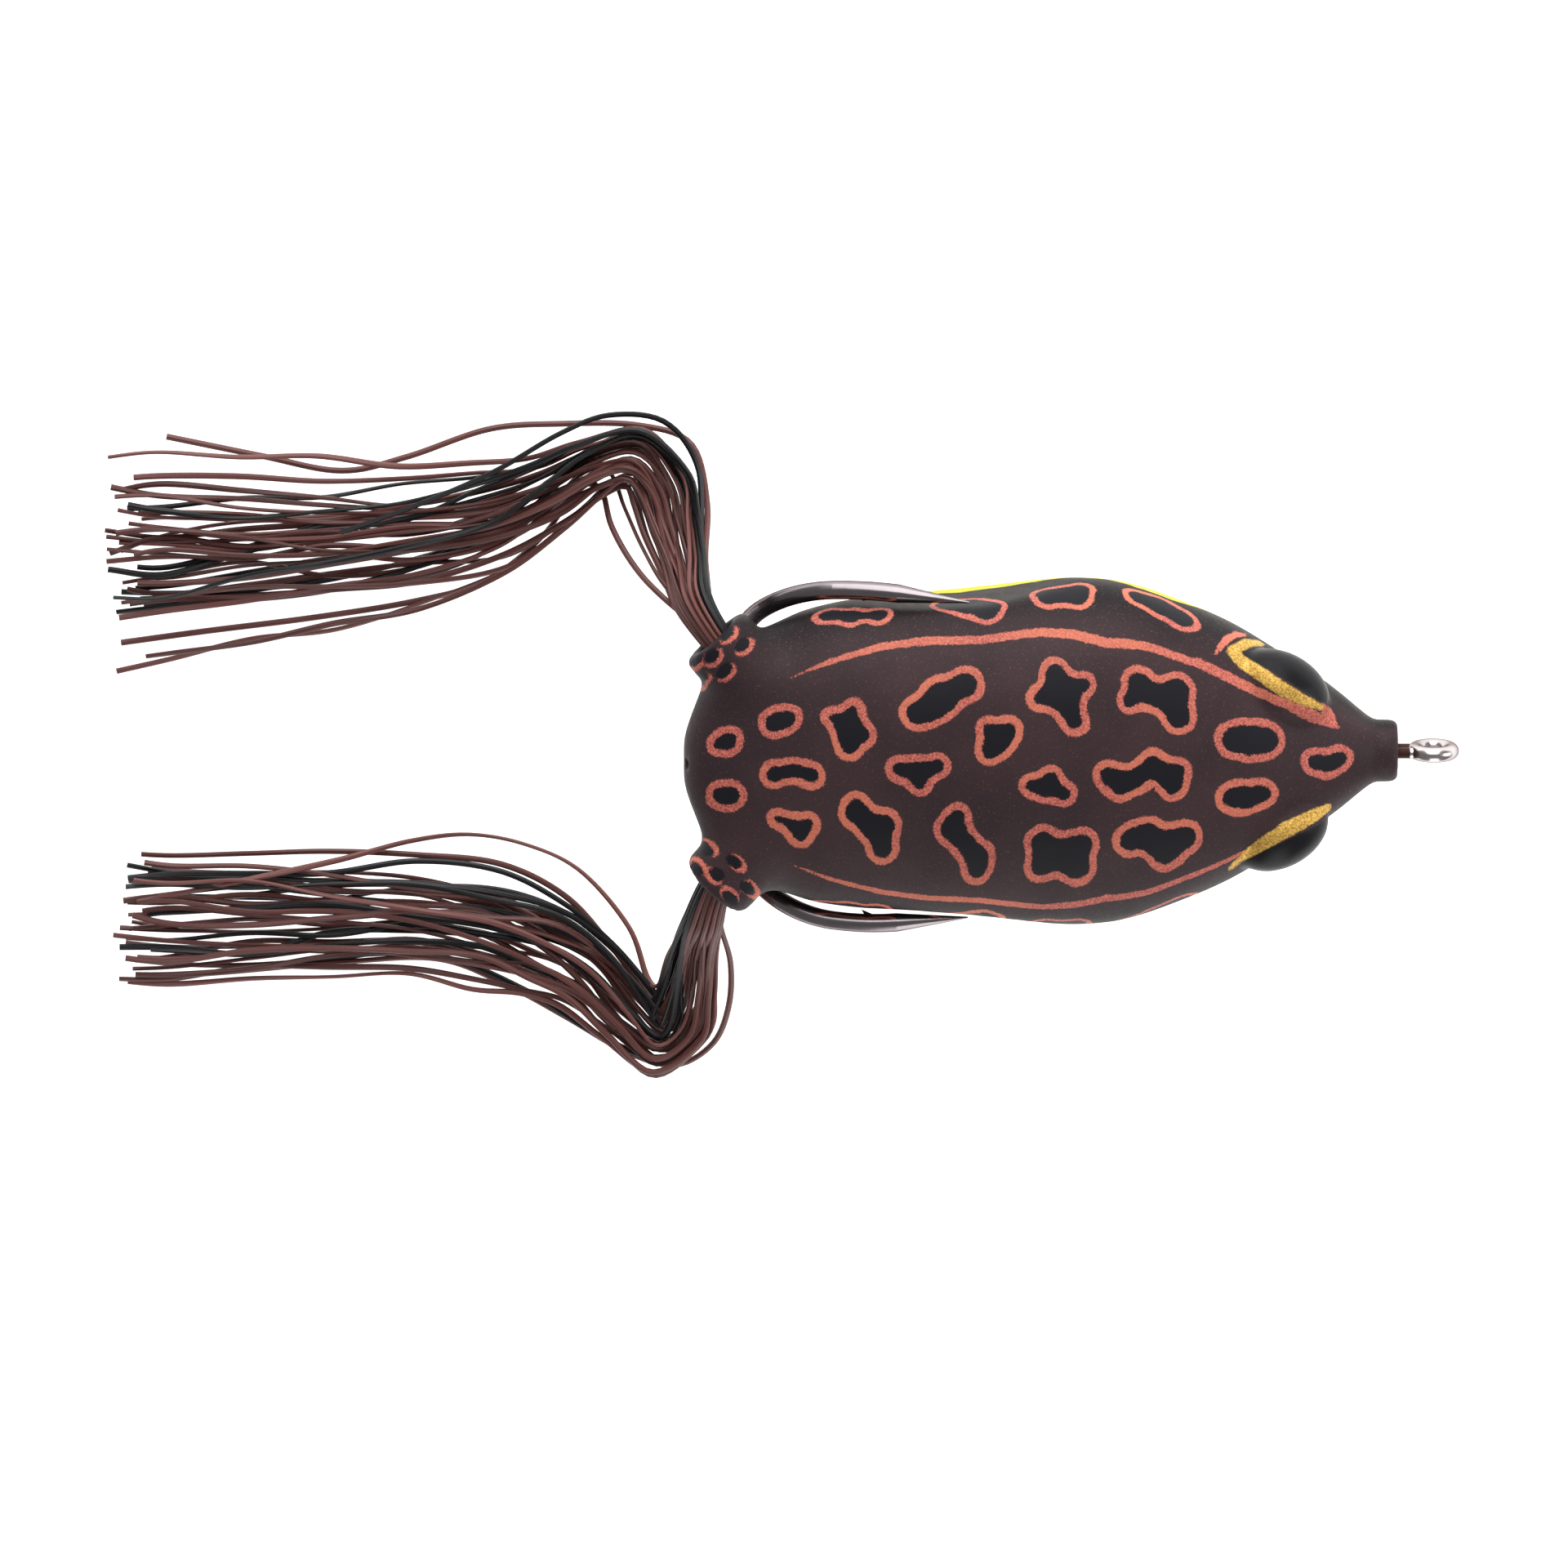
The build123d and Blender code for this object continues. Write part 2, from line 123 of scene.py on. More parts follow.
# ---- paint --------------------------------------------------------------------------------------
# The spots of the back, each a few discs melted together: along X, up the picture, radius.
SPOTS = [
    [(-65.2, 0.6, 1.0), (-63.9, 1.2, 1.0), (-64.0, 0.4, 0.9)],
    [(-65.0, -4.0, 1.1), (-63.6, -4.0, 1.1), (-64.3, -4.2, 1.2)],
    [(-60.3, 2.4, 1.1), (-58.6, 3.0, 1.15), (-59.5, 2.6, 1.35)],
    [(-60.0, -2.2, 1.3), (-56.5, -2.3, 1.2), (-58.6, -1.8, 1.0), (-57.6, -1.9, 0.9)],
    [(-59.8, -6.1, 0.9), (-56.8, -6.6, 1.0), (-57.6, -7.8, 1.1), (-58.4, -6.7, 1.0)],
    [(-54.8, 3.0, 0.95), (-52.8, 3.8, 0.95), (-51.8, 1.4, 1.1), (-53.2, 0.2, 1.2), (-53.2, 1.8, 1.65)],
    [(-48.8, -1.7, 1.2), (-45.2, -1.4, 1.2), (-46.9, -3.1, 1.1), (-47.0, -1.7, 1.3)],
    [(-52.6, -4.9, 1.2), (-52.9, -5.8, 1.2), (-49.9, -6.7, 1.5), (-50.2, -8.9, 1.5), (-51.3, -6.9, 1.5)],
    [(-47.2, 3.3, 1.55), (-45.0, 4.7, 2.1), (-42.7, 5.9, 1.75), (-46.1, 3.3, 1.3)],
    [(-40.6, -0.1, 1.2), (-38.8, 1.8, 1.3), (-40.7, 2.0, 1.05), (-39.7, 0.7, 1.5)],
    [(-34.7, 7.0, 1.4), (-32.0, 6.0, 1.1), (-36.1, 4.7, 1.2), (-32.8, 2.5, 1.3), (-33.8, 4.7, 1.9)],
    [(-27.2, 6.3, 1.4), (-28.0, 4.4, 1.1), (-23.6, 5.4, 1.7), (-23.5, 3.1, 1.7), (-25.6, 4.9, 1.5)],
    [(-36.8, -3.2, 1.1), (-34.9, -2.3, 1.0), (-33.8, -4.0, 1.2), (-35.5, -3.5, 1.2)],
    [(-29.9, -2.2, 1.4), (-25.8, -1.1, 1.3), (-23.5, -1.9, 1.3), (-28.8, -3.4, 1.3),
     (-24.0, -3.4, 1.3), (-27.3, -2.5, 1.45)],
    [(-18.6, 1.0, 1.7), (-15.4, 0.9, 1.7), (-17.0, 0.9, 1.9)],
    [(-18.6, -4.3, 1.5), (-15.7, -3.9, 1.4), (-17.4, -4.3, 1.5)],
    [(-35.8, -8.3, 1.6), (-32.1, -8.4, 1.5), (-36.0, -10.6, 1.4), (-32.5, -10.7, 1.7), (-33.8, -9.4, 1.9)],
    [(-27.9, -8.2, 1.5), (-26.3, -7.5, 1.6), (-22.7, -7.8, 1.5), (-24.7, -9.3, 1.7), (-23.8, -8.3, 1.6)],
    [(-43.4, -5.9, 1.2), (-44.2, -7.2, 1.4), (-41.3, -9.4, 1.3), (-41.7, -10.8, 1.4), (-42.8, -8.3, 1.5)],
    [(-11.1, -1.0, 1.2), (-8.6, -0.7, 1.2), (-9.8, -1.4, 1.2)],
]
RING_WIDTH = 0.66                   # orange ring round each black core
MELT = 0.42                         # how far the discs of a spot run into each other
FAR = 8.0                           # distances beyond this are not worked out
# The spots of each flank: along X, degrees above the body's widest line, radius.
FLANK_SPOTS = [
    [(-55.2, 14, 1.5), (-53.0, 19, 1.4), (-50.4, 21, 1.3)],
    [(-44.0, 13, 1.9), (-42.4, 17, 2.2), (-40.7, 24, 1.8)],
    [(-35.6, 15, 1.3), (-32.4, 21, 1.2), (-32.2, 13, 1.3), (-35.2, 21, 1.1), (-33.9, 17, 1.5)],
    [(-27.2, 13, 1.3), (-25.2, 15, 1.8), (-23.1, 19, 1.7)],
]
FLANK_RING_WIDTH = 0.55
# The stripe along each side of the back: along X, degrees above the widest line, half-width.
BACK_STRIPE = [
    (-58.6, 49.5, 0.05), (-54.9, 44.4, 0.28), (-50.2, 39.8, 0.4), (-46.4, 39.1, 0.45), (-41.3, 40.5, 0.42),
    (-35.7, 38.3, 0.45), (-32.8, 39.7, 0.5), (-29.9, 42.7, 0.48), (-26.1, 41.6, 0.42), (-23.3, 43.1, 0.42),
    (-17.0, 46.5, 0.3),
]
LEFT_STRIPE_END = -21.0             # from here on the left stripe is one of the strokes below
STRIPE_EXTRA_RADIUS = 3.0           # the back is this much flatter than its height says
FACING_UP = 0.05                    # paint seen from above is on skin that faces it at least this much
# Upper edge of the yellow belly: along X, degrees above the widest line.
YELLOW_EDGE = [
    (-66, -70), (-56, -40), (-50, -22), (-47, -13), (-44, -11), (-40, -11), (-36.5, -9), (-33, -6),
    (-29.5, -3), (-27, 3), (-24, 4), (-22, -1), (-19, -14), (-12, -30), (-5, -45),
]
# Gold strokes beside the eyes, left then right: along X, up the picture, half-width.
GOLD_STROKES = [
    [(-15.7, 9.75, 0.25), (-17.3, 9.6, 0.5), (-18.6, 9.0, 0.45), (-17.6, 8.0, 0.6), (-16.0, 6.9, 0.62),
     (-14.2, 5.6, 0.62), (-12.3, 4.6, 0.5), (-10.5, 3.9, 0.3)],
    [(-18.6, -10.7, 0.15), (-17.1, -9.5, 0.45), (-15.4, -8.3, 0.6), (-13.4, -7.1, 0.7), (-11.6, -6.2, 0.6),
     (-9.7, -5.2, 0.35)],
]
# Lines that cut the black off each eye dome, from its back corner to its front corner.
EYE_LINES = [((-18.3, 9.1), (-10.3, 4.3)), ((-18.4, -10.5), (-9.9, -6.4))]
ORANGE_STROKES = [
    [(-20.0, 8.8, 0.15), (-19.2, 9.9, 0.35), (-18.2, 10.5, 0.3), (-17.2, 10.5, 0.12)],
    [(-21.8, 7.95, 0.42), (-19.0, 6.65, 0.45), (-16.1, 5.2, 0.42), (-13.7, 4.15, 0.42), (-11.2, 3.1, 0.6),
     (-8.8, 2.05, 0.12)],
    [(-10.3, 5.0, 0.1), (-9.8, 3.4, 0.55), (-9.0, 2.2, 0.15)],
]
# Black ovals with an orange crescent on the leg sockets: along X, up the picture, which way the
# crescent lies from the oval's middle, in degrees.
CRESCENTS = [
    (-64.2, 10.6, -40), (-62.9, 9.5, -40), (-65.7, 8.5, -40), (-64.4, 7.2, -40), (-66.7, 6.4, -50),
    (-67.1, 8.2, -70),
    (-66.1, -9.0, 20), (-63.6, -10.1, -30), (-65.2, -11.2, 210), (-67.0, -10.8, 60), (-62.4, -12.5, -20),
    (-64.0, -13.4, 100),
]
CRESCENT_OVAL = (0.88, 0.52)        # half-length and half-width
CRESCENT_LEAN = 45                  # degrees: the ovals' long way, towards the nose on the left
CRESCENT_SHIFT = 0.3
CRESCENT_GROWTH = 0.14

# ---- skirt --------------------------------------------------------------------------------------
# The middle of each leg's strands, from behind the band to the tips: x, y, z, half-width, half-height.
LEG_ROUTES = {
    "left": [
        (-67.3, 14.6, 2.6, 1.9, 1.7), (-68.2, 17.2, -0.9, 2.4, 2.0), (-69.2, 20.0, -3.8, 2.9, 2.3),
        (-70.1, 23.2, -5.6, 3.1, 2.6), (-72.6, 26.1, -6.4, 2.9, 2.6), (-76.6, 24.9, -6.8, 3.0, 2.4),
        (-80.5, 22.4, -7.1, 3.8, 2.2), (-85.9, 19.7, -7.4, 4.9, 1.9), (-93.3, 18.1, -7.6, 5.5, 1.8),
        (-100.8, 17.3, -7.7, 5.8, 1.7), (-108.2, 16.8, -7.8, 6.0, 1.6), (-115.6, 16.4, -7.8, 6.3, 1.6),
        (-121.0, 16.1, -7.8, 6.6, 1.6),
    ],
    "right": [
        (-66.4, -15.2, 2.6, 1.9, 1.7), (-67.2, -18.8, -0.6, 2.3, 2.0), (-67.8, -23.4, -3.8, 2.8, 2.3),
        (-68.5, -27.0, -5.6, 3.1, 2.6), (-70.4, -29.2, -6.4, 3.3, 2.6), (-73.4, -26.6, -6.8, 3.3, 2.4),
        (-77.0, -22.8, -7.1, 3.8, 2.2), (-81.2, -20.2, -7.2, 4.3, 2.0), (-86.5, -18.5, -7.4, 4.5, 1.9),
        (-93.3, -17.5, -7.6, 4.5, 1.8), (-100.8, -17.5, -7.7, 4.8, 1.7), (-108.2, -17.6, -7.8, 5.3, 1.6),
        (-115.6, -17.8, -7.8, 5.5, 1.6), (-121.5, -17.8, -7.8, 5.7, 1.6),
    ],
}
# Strands that lie away from the rest: colour, and places from outside the socket to the tip.
STRAYS = {
    "left": [
        ("brown", [(-66.2, 17.4, 0.2), (-66.1, 22.0, -5.0), (-67.6, 26.9, -7.6), (-72.5, 28.4, -8.6),
                   (-79.4, 28.4, -9.1), (-86.0, 27.9, -9.1), (-93.5, 25.3, -9.1), (-99.5, 24.0, -9.1),
                   (-106.8, 25.4, -9.1), (-115.4, 27.2, -9.1)]),
        ("black", [(-66.5, 19.9, -3.0), (-67.0, 25.3, -6.0), (-70.0, 29.2, -6.6), (-75.0, 29.8, -6.6),
                   (-79.5, 28.3, -5.6), (-85.5, 24.8, -5.4), (-92.5, 21.6, -5.7), (-99.5, 18.9, -6.2)]),
        ("brown", [(-70.2, 14.8, 1.2), (-72.8, 17.0, -1.8), (-74.8, 19.8, -5.0), (-75.8, 22.6, -7.6),
                   (-77.8, 22.4, -8.8), (-81.4, 17.6, -9.1), (-86.5, 13.6, -9.1), (-93.0, 11.7, -9.1),
                   (-102.0, 10.2, -9.1), (-112.0, 8.9, -9.1), (-119.8, 7.8, -9.1)]),
        ("brown", [(-69.6, 15.4, 1.2), (-71.8, 18.2, -2.0), (-73.6, 21.4, -5.4), (-74.9, 24.0, -7.8),
                   (-77.4, 23.8, -8.9), (-82.3, 19.4, -9.0), (-88.0, 15.6, -9.0), (-96.0, 13.4, -9.1),
                   (-106.0, 12.4, -9.1), (-118.0, 12.0, -9.1)]),
    ],
    "right": [
        ("brown", [(-64.9, -16.1, 1.6), (-64.0, -20.7, -2.0), (-64.2, -25.7, -5.0), (-65.7, -30.0, -7.6),
                   (-69.2, -32.4, -8.8), (-73.7, -31.2, -9.1), (-79.0, -28.0, -9.1), (-84.5, -24.9, -9.1),
                   (-91.0, -22.3, -9.1), (-100.0, -22.6, -9.1), (-111.0, -23.6, -9.1),
                   (-118.5, -24.1, -9.1)]),
        ("brown", [(-69.4, -19.0, -1.2), (-70.6, -23.6, -5.2), (-71.7, -23.6, -7.6), (-73.4, -19.1, -8.7),
                   (-77.8, -13.9, -9.1), (-82.7, -11.4, -9.1), (-88.0, -10.4, -9.1), (-93.5, -10.9, -8.6),
                   (-100.0, -12.2, -6.8), (-109.0, -14.0, -6.0), (-118.5, -16.1, -6.6)]),
        ("black", [(-65.9, -21.2, -2.5), (-66.7, -28.4, -6.5), (-70.8, -31.3, -7.6), (-76.5, -29.3, -8.7),
                   (-83.0, -25.2, -9.0), (-91.0, -22.0, -9.1), (-101.0, -22.1, -9.1),
                   (-110.0, -23.5, -9.1), (-117.0, -23.9, -9.1)]),
    ],
}
SPLIT_STATION = 1.5                 # where the upper pieces end and the lower ones start
FATTENING = (2, 5)                  # stations over which the strands get back their width
STRAND_RINGS = 3                    # rings of strands round the middle one
STRAND_RADIUS = 0.29                # half the width of a strand
STRAND_FLATNESS = 0.62              # its thickness as a share of its width
STRAND_TURN = math.radians(4)       # most that its flat side turns from one ring to the next
BAND_STRAND_RADIUS = 0.25           # squeezed by the band
BLACK_SHARE = 0.25
CROSSING = 0.5                      # how much the strands change places between the knee and the tips
BLACK_DRIFT = {"left": 1.1, "right": 0.3}   # how far the black ones move over on the way
KNEE_SCATTER = 0.35                 # how loosely a strand keeps its place in the bundle to the knee
WANDER = 0.11                       # sideways steps from station to station beyond the knee
UNEVEN_TIPS = 0.75                  # the shortest strand ends this many stations early
STRAY_SPREAD = 0.5
INNER_STATIONS = 3                  # stations of a leg that are inside its socket
KNEE_STATION = 7
STRAND_STEP = 0.7
PATH_SAMPLES = 400
STRAND_SIDES = 8
STRAND_RIBS = 7                     # fine ribs round a strand
INNER_DEPTHS = (8.0, 3.75, 0.3)     # below the rim: the root, the band, and just inside the rim
BUNDLE_RADIUS = 1.5
ROOT_RADIUS = 2.0

# ---- colours, as they look on a screen ----------------------------------------------------------
BROWN = ((0.225, 0.175, 0.19), (0.27, 0.205, 0.215))
# painted shade: the dark brown that the flanks turn to, standing in for the shade where the body's sides
# turn away from the lights
PAINTED_FLANK_SHADE = (0.115, 0.095, 0.11)
COPPER = (0.56, 0.38, 0.33)
YELLOW = ((0.86, 0.84, 0.16), (0.72, 0.70, 0.16))
CREAM = ((0.78, 0.74, 0.50), (0.66, 0.60, 0.38))
BELLY_EDGING = (0.09, 0.08, 0.09)
ORANGE = ((0.86, 0.49, 0.43), (0.66, 0.33, 0.30))
WARM_ORANGE = (0.90, 0.52, 0.40)
SPOT_BLACK = ((0.12, 0.118, 0.14), (0.15, 0.147, 0.17))
GOLD = ((0.94, 0.77, 0.40), (0.70, 0.53, 0.25))
EYE_BLACK = (0.115, 0.115, 0.125)
BROWN_STRAND = ((0.30, 0.165, 0.15), (0.50, 0.31, 0.29))
BLACK_STRAND = ((0.07, 0.07, 0.08), (0.14, 0.14, 0.155))
STRAND_DUST = (0.75, 0.66, 0.60)
BLACK_NICKEL = ((0.56, 0.53, 0.54), (0.60, 0.565, 0.575))
PLATING = ((0.84, 0.81, 0.81), (0.76, 0.73, 0.73))
DARK_STEM = ((0.20, 0.10, 0.09), (0.30, 0.17, 0.15))
SOLDER = ((0.62, 0.61, 0.60), (0.45, 0.44, 0.43))
WEIGHT_PAINT = ((0.13, 0.11, 0.12), (0.19, 0.16, 0.17))
BARE_WEIGHT = (0.48, 0.47, 0.47)
DARK_RUBBER = ((0.13, 0.1196, 0.117), (0.1755, 0.1625, 0.1625))
FLOOR = ((0.97, 0.97, 0.97), (0.99, 0.99, 0.99))
WHITE = (1.0, 1.0, 1.0, 1.0)
NICKEL_EDGE_TINT = (0.13, 0.11, 0.12, 1.0)    # metal reflects less than white at grazing angles
WIRE_EDGE_TINT = (0.20, 0.17, 0.17, 1.0)
DARK_STEM_END = (-2.25, -2.1)         # along X: the stem is dark red-brown behind this


# ---- mesh helpers -------------------------------------------------------------------------------
def new_piece(name, mesh):
    """Puts a mesh in the scene."""
    piece = bpy.data.objects.new(name, mesh)
    bpy.context.collection.objects.link(piece)
    return piece


def cad_copy(node, name):
    """A piece with the shape of a CAD node, its faces joined at their shared edges."""
    mesh = frame["nodes"][node].data.copy()
    mesh.materials.clear()
    welded = bmesh.new()
    welded.from_mesh(mesh)
    bmesh.ops.remove_doubles(welded, verts=welded.verts, dist=0.001 * MM)
    welded.to_mesh(mesh)
    welded.free()
    return new_piece(name, mesh)


def apply_modifier(piece, kind, **settings):
    modifier = piece.modifiers.new(kind.lower(), kind)
    for name, value in settings.items():
        setattr(modifier, name, value)
    bpy.context.view_layer.objects.active = piece
    bpy.ops.object.modifier_apply(modifier=modifier.name)


def vertex_array(piece, what="co"):
    """Every vertex's place in millimetres, or its normal."""
    values = np.empty(len(piece.data.vertices) * 3)
    piece.data.vertices.foreach_get(what, values)
    values = values.reshape(-1, 3)
    return values / MM if what == "co" else values


def store(piece, name, values):
    attribute = piece.data.attributes.new(name, "FLOAT", "POINT")
    attribute.data.foreach_set("value", values.astype(np.float32))


def smooth_shading(piece):
    piece.data.polygons.foreach_set("use_smooth", [True] * len(piece.data.polygons))


# ---- paint on the body --------------------------------------------------------------------------
def picture_plane(points):
    """Where points fall on the plane that the camera faces: along X, and up the picture."""
    up = points[..., 1] * math.cos(VIEW_TILT) - points[..., 2] * math.sin(VIEW_TILT)
    return np.stack([points[..., 0], up], axis=-1)


def girth_angle(points):
    """Degrees round the body: 0 at the widest line, 90 on top, -90 below."""
    distance = NOSE_FACE_X - points[:, 0]
    columns = BODY_STATIONS.T
    half_width, top, bottom, widest = (np.interp(distance, columns[0], column) for column in columns[1:])
    rise = points[:, 2] - widest
    height = np.where(rise > 0, top - widest, widest - bottom)
    return np.degrees(np.arctan2(rise / height, np.abs(points[:, 1]) / half_width))


def melted_discs(points, discs):
    """Rough distance to discs melted together: below 0 inside."""
    total = sum(np.exp((radius - np.hypot(points[..., 0] - x, points[..., 1] - y)) / MELT)
                for x, y, radius in discs)
    return -MELT * np.log(np.maximum(total, 1e-30))


def blob_outline(discs):
    """Points all round a blob, where rays from its middle leave it."""
    centre = np.mean([disc[:2] for disc in discs], axis=0)
    angles = np.linspace(0, 2 * math.pi, 90, endpoint=False)
    rays = np.stack([np.cos(angles), np.sin(angles)], axis=-1)
    reach = np.arange(0, 6, 0.02)
    inside = melted_discs(centre + reach[None, :, None] * rays[:, None, :], discs) < 0
    last = inside.shape[1] - 1 - np.argmax(inside[:, ::-1], axis=1)
    return centre + reach[last][:, None] * rays


def segment_distance(points, start, end):
    """Distance to a segment, and the fraction of it that each point is beside."""
    along = end - start
    fraction = np.clip((points - start) @ along / max(along @ along, 1e-12), 0, 1)
    return np.hypot(*(points - start - fraction[:, None] * along).T), fraction


def blob_distance(points, discs):
    """Signed distance to a blob's outline, below 0 inside, and FAR away from it."""
    outline = blob_outline(discs)
    distance = np.full(len(points), FAR)
    near = np.hypot(*(points - outline.mean(axis=0)).T) < FAR
    closest = np.full(near.sum(), FAR)
    for start, end in zip(outline, np.roll(outline, -1, axis=0)):
        closest = np.minimum(closest, segment_distance(points[near], start, end)[0])
    distance[near] = np.where(melted_discs(points[near], discs) < 0, -closest, closest)
    return distance


def stroke_distance(points, stroke):
    """Signed distance to a brush stroke through places that each have a half-width."""
    places = np.array(stroke)
    result = np.full(len(points), FAR)
    for start, end in zip(places, places[1:]):
        distance, fraction = segment_distance(points, start[:2], end[:2])
        result = np.minimum(result, distance - (start[2] + (end[2] - start[2]) * fraction))
    return result


def oval_distance(flat, x, y, grown=0.0):
    """Rough signed distance to one of the sockets' ovals."""
    lean = math.radians(CRESCENT_LEAN if y > 0 else -CRESCENT_LEAN)
    along = (flat[:, 0] - x) * math.cos(lean) + (flat[:, 1] - y) * math.sin(lean)
    across = (flat[:, 1] - y) * math.cos(lean) - (flat[:, 0] - x) * math.sin(lean)
    half_length, half_width = (size + grown for size in CRESCENT_OVAL)
    return (np.hypot(along / half_length, across / half_width) - 1) * half_width


def eye_shape(points, side):
    """1 on the surface of one eye dome, less inside it."""
    offset = points - np.array([EYE_CENTRE[0], side * EYE_CENTRE[1], EYE_CENTRE[2]])
    cos = math.cos(side * EYE_YAW)
    sin = math.sin(side * EYE_YAW)
    along = offset[:, 0] * cos - offset[:, 1] * sin
    across = offset[:, 0] * sin + offset[:, 1] * cos
    return np.sqrt((along / EYE_RADII[0]) ** 2 + (across / EYE_RADII[1]) ** 2
                   + (offset[:, 2] / EYE_RADII[2]) ** 2)


def eye_distance(points, flat, side):
    """Below 0 on the black part of an eye: on the dome and outside the line that cuts it."""
    back, front = (np.array(place) for place in EYE_LINES[0 if side > 0 else 1])
    along = (front - back) / np.hypot(*(front - back))
    outside = side * (along[0] * (flat[:, 1] - back[1]) - along[1] * (flat[:, 0] - back[0]))
    off_dome = (eye_shape(points, side) - EYE_EDGE) * EYE_RADII[2]
    return np.maximum(-outside, off_dome)


def back_spots(flat):
    """Distances to the rings and to the black cores of the spots on the back and sockets."""
    ring = np.full(len(flat), FAR)
    core = np.full(len(flat), FAR)
    for discs in SPOTS:
        distance = blob_distance(flat, discs)
        ring = np.minimum(ring, distance)
        core = np.minimum(core, distance + RING_WIDTH)
    for x, y, towards in CRESCENTS:
        shift_x = CRESCENT_SHIFT * math.cos(math.radians(towards))
        shift_y = CRESCENT_SHIFT * math.sin(math.radians(towards))
        ring = np.minimum(ring, oval_distance(flat, x + shift_x, y + shift_y, CRESCENT_GROWTH))
        core = np.minimum(core, oval_distance(flat, x, y))
    return ring, core


def body_height(x):
    """Height of the body's top at places along X, which turns degrees of girth into millimetres."""
    return np.interp(NOSE_FACE_X - x, BODY_STATIONS[:, 0], BODY_STATIONS[:, 2])


def flank_spots(points, angle, outward):
    """Distances to the rings and to the black cores of the spots on the flanks."""
    ring = np.full(len(points), FAR)
    core = np.full(len(points), FAR)
    for discs in FLANK_SPOTS:
        scale = body_height(np.mean([disc[0] for disc in discs]))
        placed = [(x, math.radians(degrees) * scale, size) for x, degrees, size in discs]
        flank = np.stack([points[:, 0], np.radians(angle) * scale], axis=-1)
        distance = np.where(outward, blob_distance(flank, placed), FAR)
        ring = np.minimum(ring, distance)
        core = np.minimum(core, distance + FLANK_RING_WIDTH)
    return ring, core


def stripe_distance(points, angle, outward):
    """Distance to the long stripe along each side of the back."""
    x, degrees, half_width = np.array(BACK_STRIPE).T
    off_middle = angle - np.interp(points[:, 0], x, degrees)
    off_stripe = np.abs(np.radians(off_middle) * (body_height(points[:, 0]) + STRIPE_EXTRA_RADIUS))
    off_edge = off_stripe - np.interp(points[:, 0], x, half_width)
    front_end = np.where(points[:, 1] > 0, LEFT_STRIPE_END, x[-1])
    past_ends = np.maximum(x[0] - points[:, 0], points[:, 0] - front_end)
    return np.where(outward, np.maximum(off_edge, past_ends), FAR)


def nearest_stroke(flat, strokes):
    """Distance to the nearest of several brush strokes."""
    return np.min([stroke_distance(flat, stroke) for stroke in strokes], axis=0)


def paint_body(skin):
    """Stores on each vertex how far it is from each painted shape, for the skin's material."""
    points = vertex_array(skin)
    normals = vertex_array(skin, "normal")
    flat = picture_plane(points)
    angle = girth_angle(points)
    towards_camera = normals @ np.array([0, math.sin(VIEW_TILT), math.cos(VIEW_TILT)])
    facing_up = towards_camera > FACING_UP
    upper = facing_up & (points[:, 2] > 0)
    outward = normals[:, 1] * points[:, 1] + normals[:, 2] * points[:, 2] > 0

    ring, core = (np.where(upper, distance, FAR) for distance in back_spots(flat))
    flank_ring, flank_core = flank_spots(points, angle, outward)
    strokes = np.where(upper, nearest_stroke(flat, ORANGE_STROKES), FAR)
    eyes = np.minimum(eye_distance(points, flat, 1), eye_distance(points, flat, -1))
    above_edge = angle - np.interp(points[:, 0], *np.array(YELLOW_EDGE).T)
    store(skin, "spot", np.minimum(ring, flank_ring))
    store(skin, "core", np.minimum(core, flank_core))
    store(skin, "orange", np.minimum(stripe_distance(points, angle, outward), strokes))
    store(skin, "gold", np.where(upper, nearest_stroke(flat, GOLD_STROKES), FAR))
    store(skin, "eye", np.where(facing_up | outward, eyes, FAR))
    store(skin, "yellow", np.radians(above_edge) * body_height(points[:, 0]))
    store(skin, "girth", angle)


def trapezoid(values, marks):
    """0 before the first mark, 1 between the middle two, 0 after the last."""
    return np.interp(values, marks, (0, 1, 1, 0))


def socket_join_weight(points):
    """1 where a leg socket runs into the body, 0 away from there."""
    weight = np.zeros(len(points))
    for side in (1, -1):
        rim, axis = socket_axis(side)
        along = (points - rim) @ axis
        off_axis = np.linalg.norm(points - rim - along[:, None] * axis, axis=1)
        near = np.interp(off_axis, SOCKET_JOIN_RADIUS, (1, 0))
        weight = np.maximum(weight, trapezoid(along, SOCKET_JOIN) * near)
    return weight


def scoop_join_weight(points):
    """A lower weight on the flanks, round the scoops that clear the hooks."""
    on_flank = np.abs(points[:, 1]) > SCOOP_Y
    return SCOOP_SHARE * on_flank * trapezoid(points[:, 0], SCOOP_X) * trapezoid(points[:, 2], SCOOP_Z)


def vertex_group(piece, name, weights):
    group = piece.vertex_groups.new(name=name)
    for index in np.flatnonzero(weights > 0.01):
        group.add([int(index)], float(weights[index]), "REPLACE")


def body_skin():
    """The soft body: the CAD shell with its joins melted together as they are in the moulding."""
    skin = cad_copy("body_shell", "frog_body")
    apply_modifier(skin, "REMESH", mode="VOXEL", voxel_size=SKIN_VOXEL * MM)
    apply_modifier(skin, "SMOOTH", factor=0.5, iterations=SKIN_SMOOTHING)
    points = vertex_array(skin)
    vertex_group(skin, "joins", np.maximum(socket_join_weight(points), scoop_join_weight(points)))
    apply_modifier(skin, "SMOOTH", factor=0.5, iterations=JOIN_SMOOTHING, vertex_group="joins")
    smooth_shading(skin)
    paint_body(skin)
    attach(skin, "lure_body")
    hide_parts("body_shell")
    return skin


# ---- skirt strands ------------------------------------------------------------------------------
def socket_axis(side):
    """The leg socket's rim and the way the leg leaves it."""
    mirror = np.array([1, side, 1])
    axis = np.array(SOCKET_AXIS) * mirror
    return np.array(SOCKET_RIM) * mirror, axis / np.linalg.norm(axis)


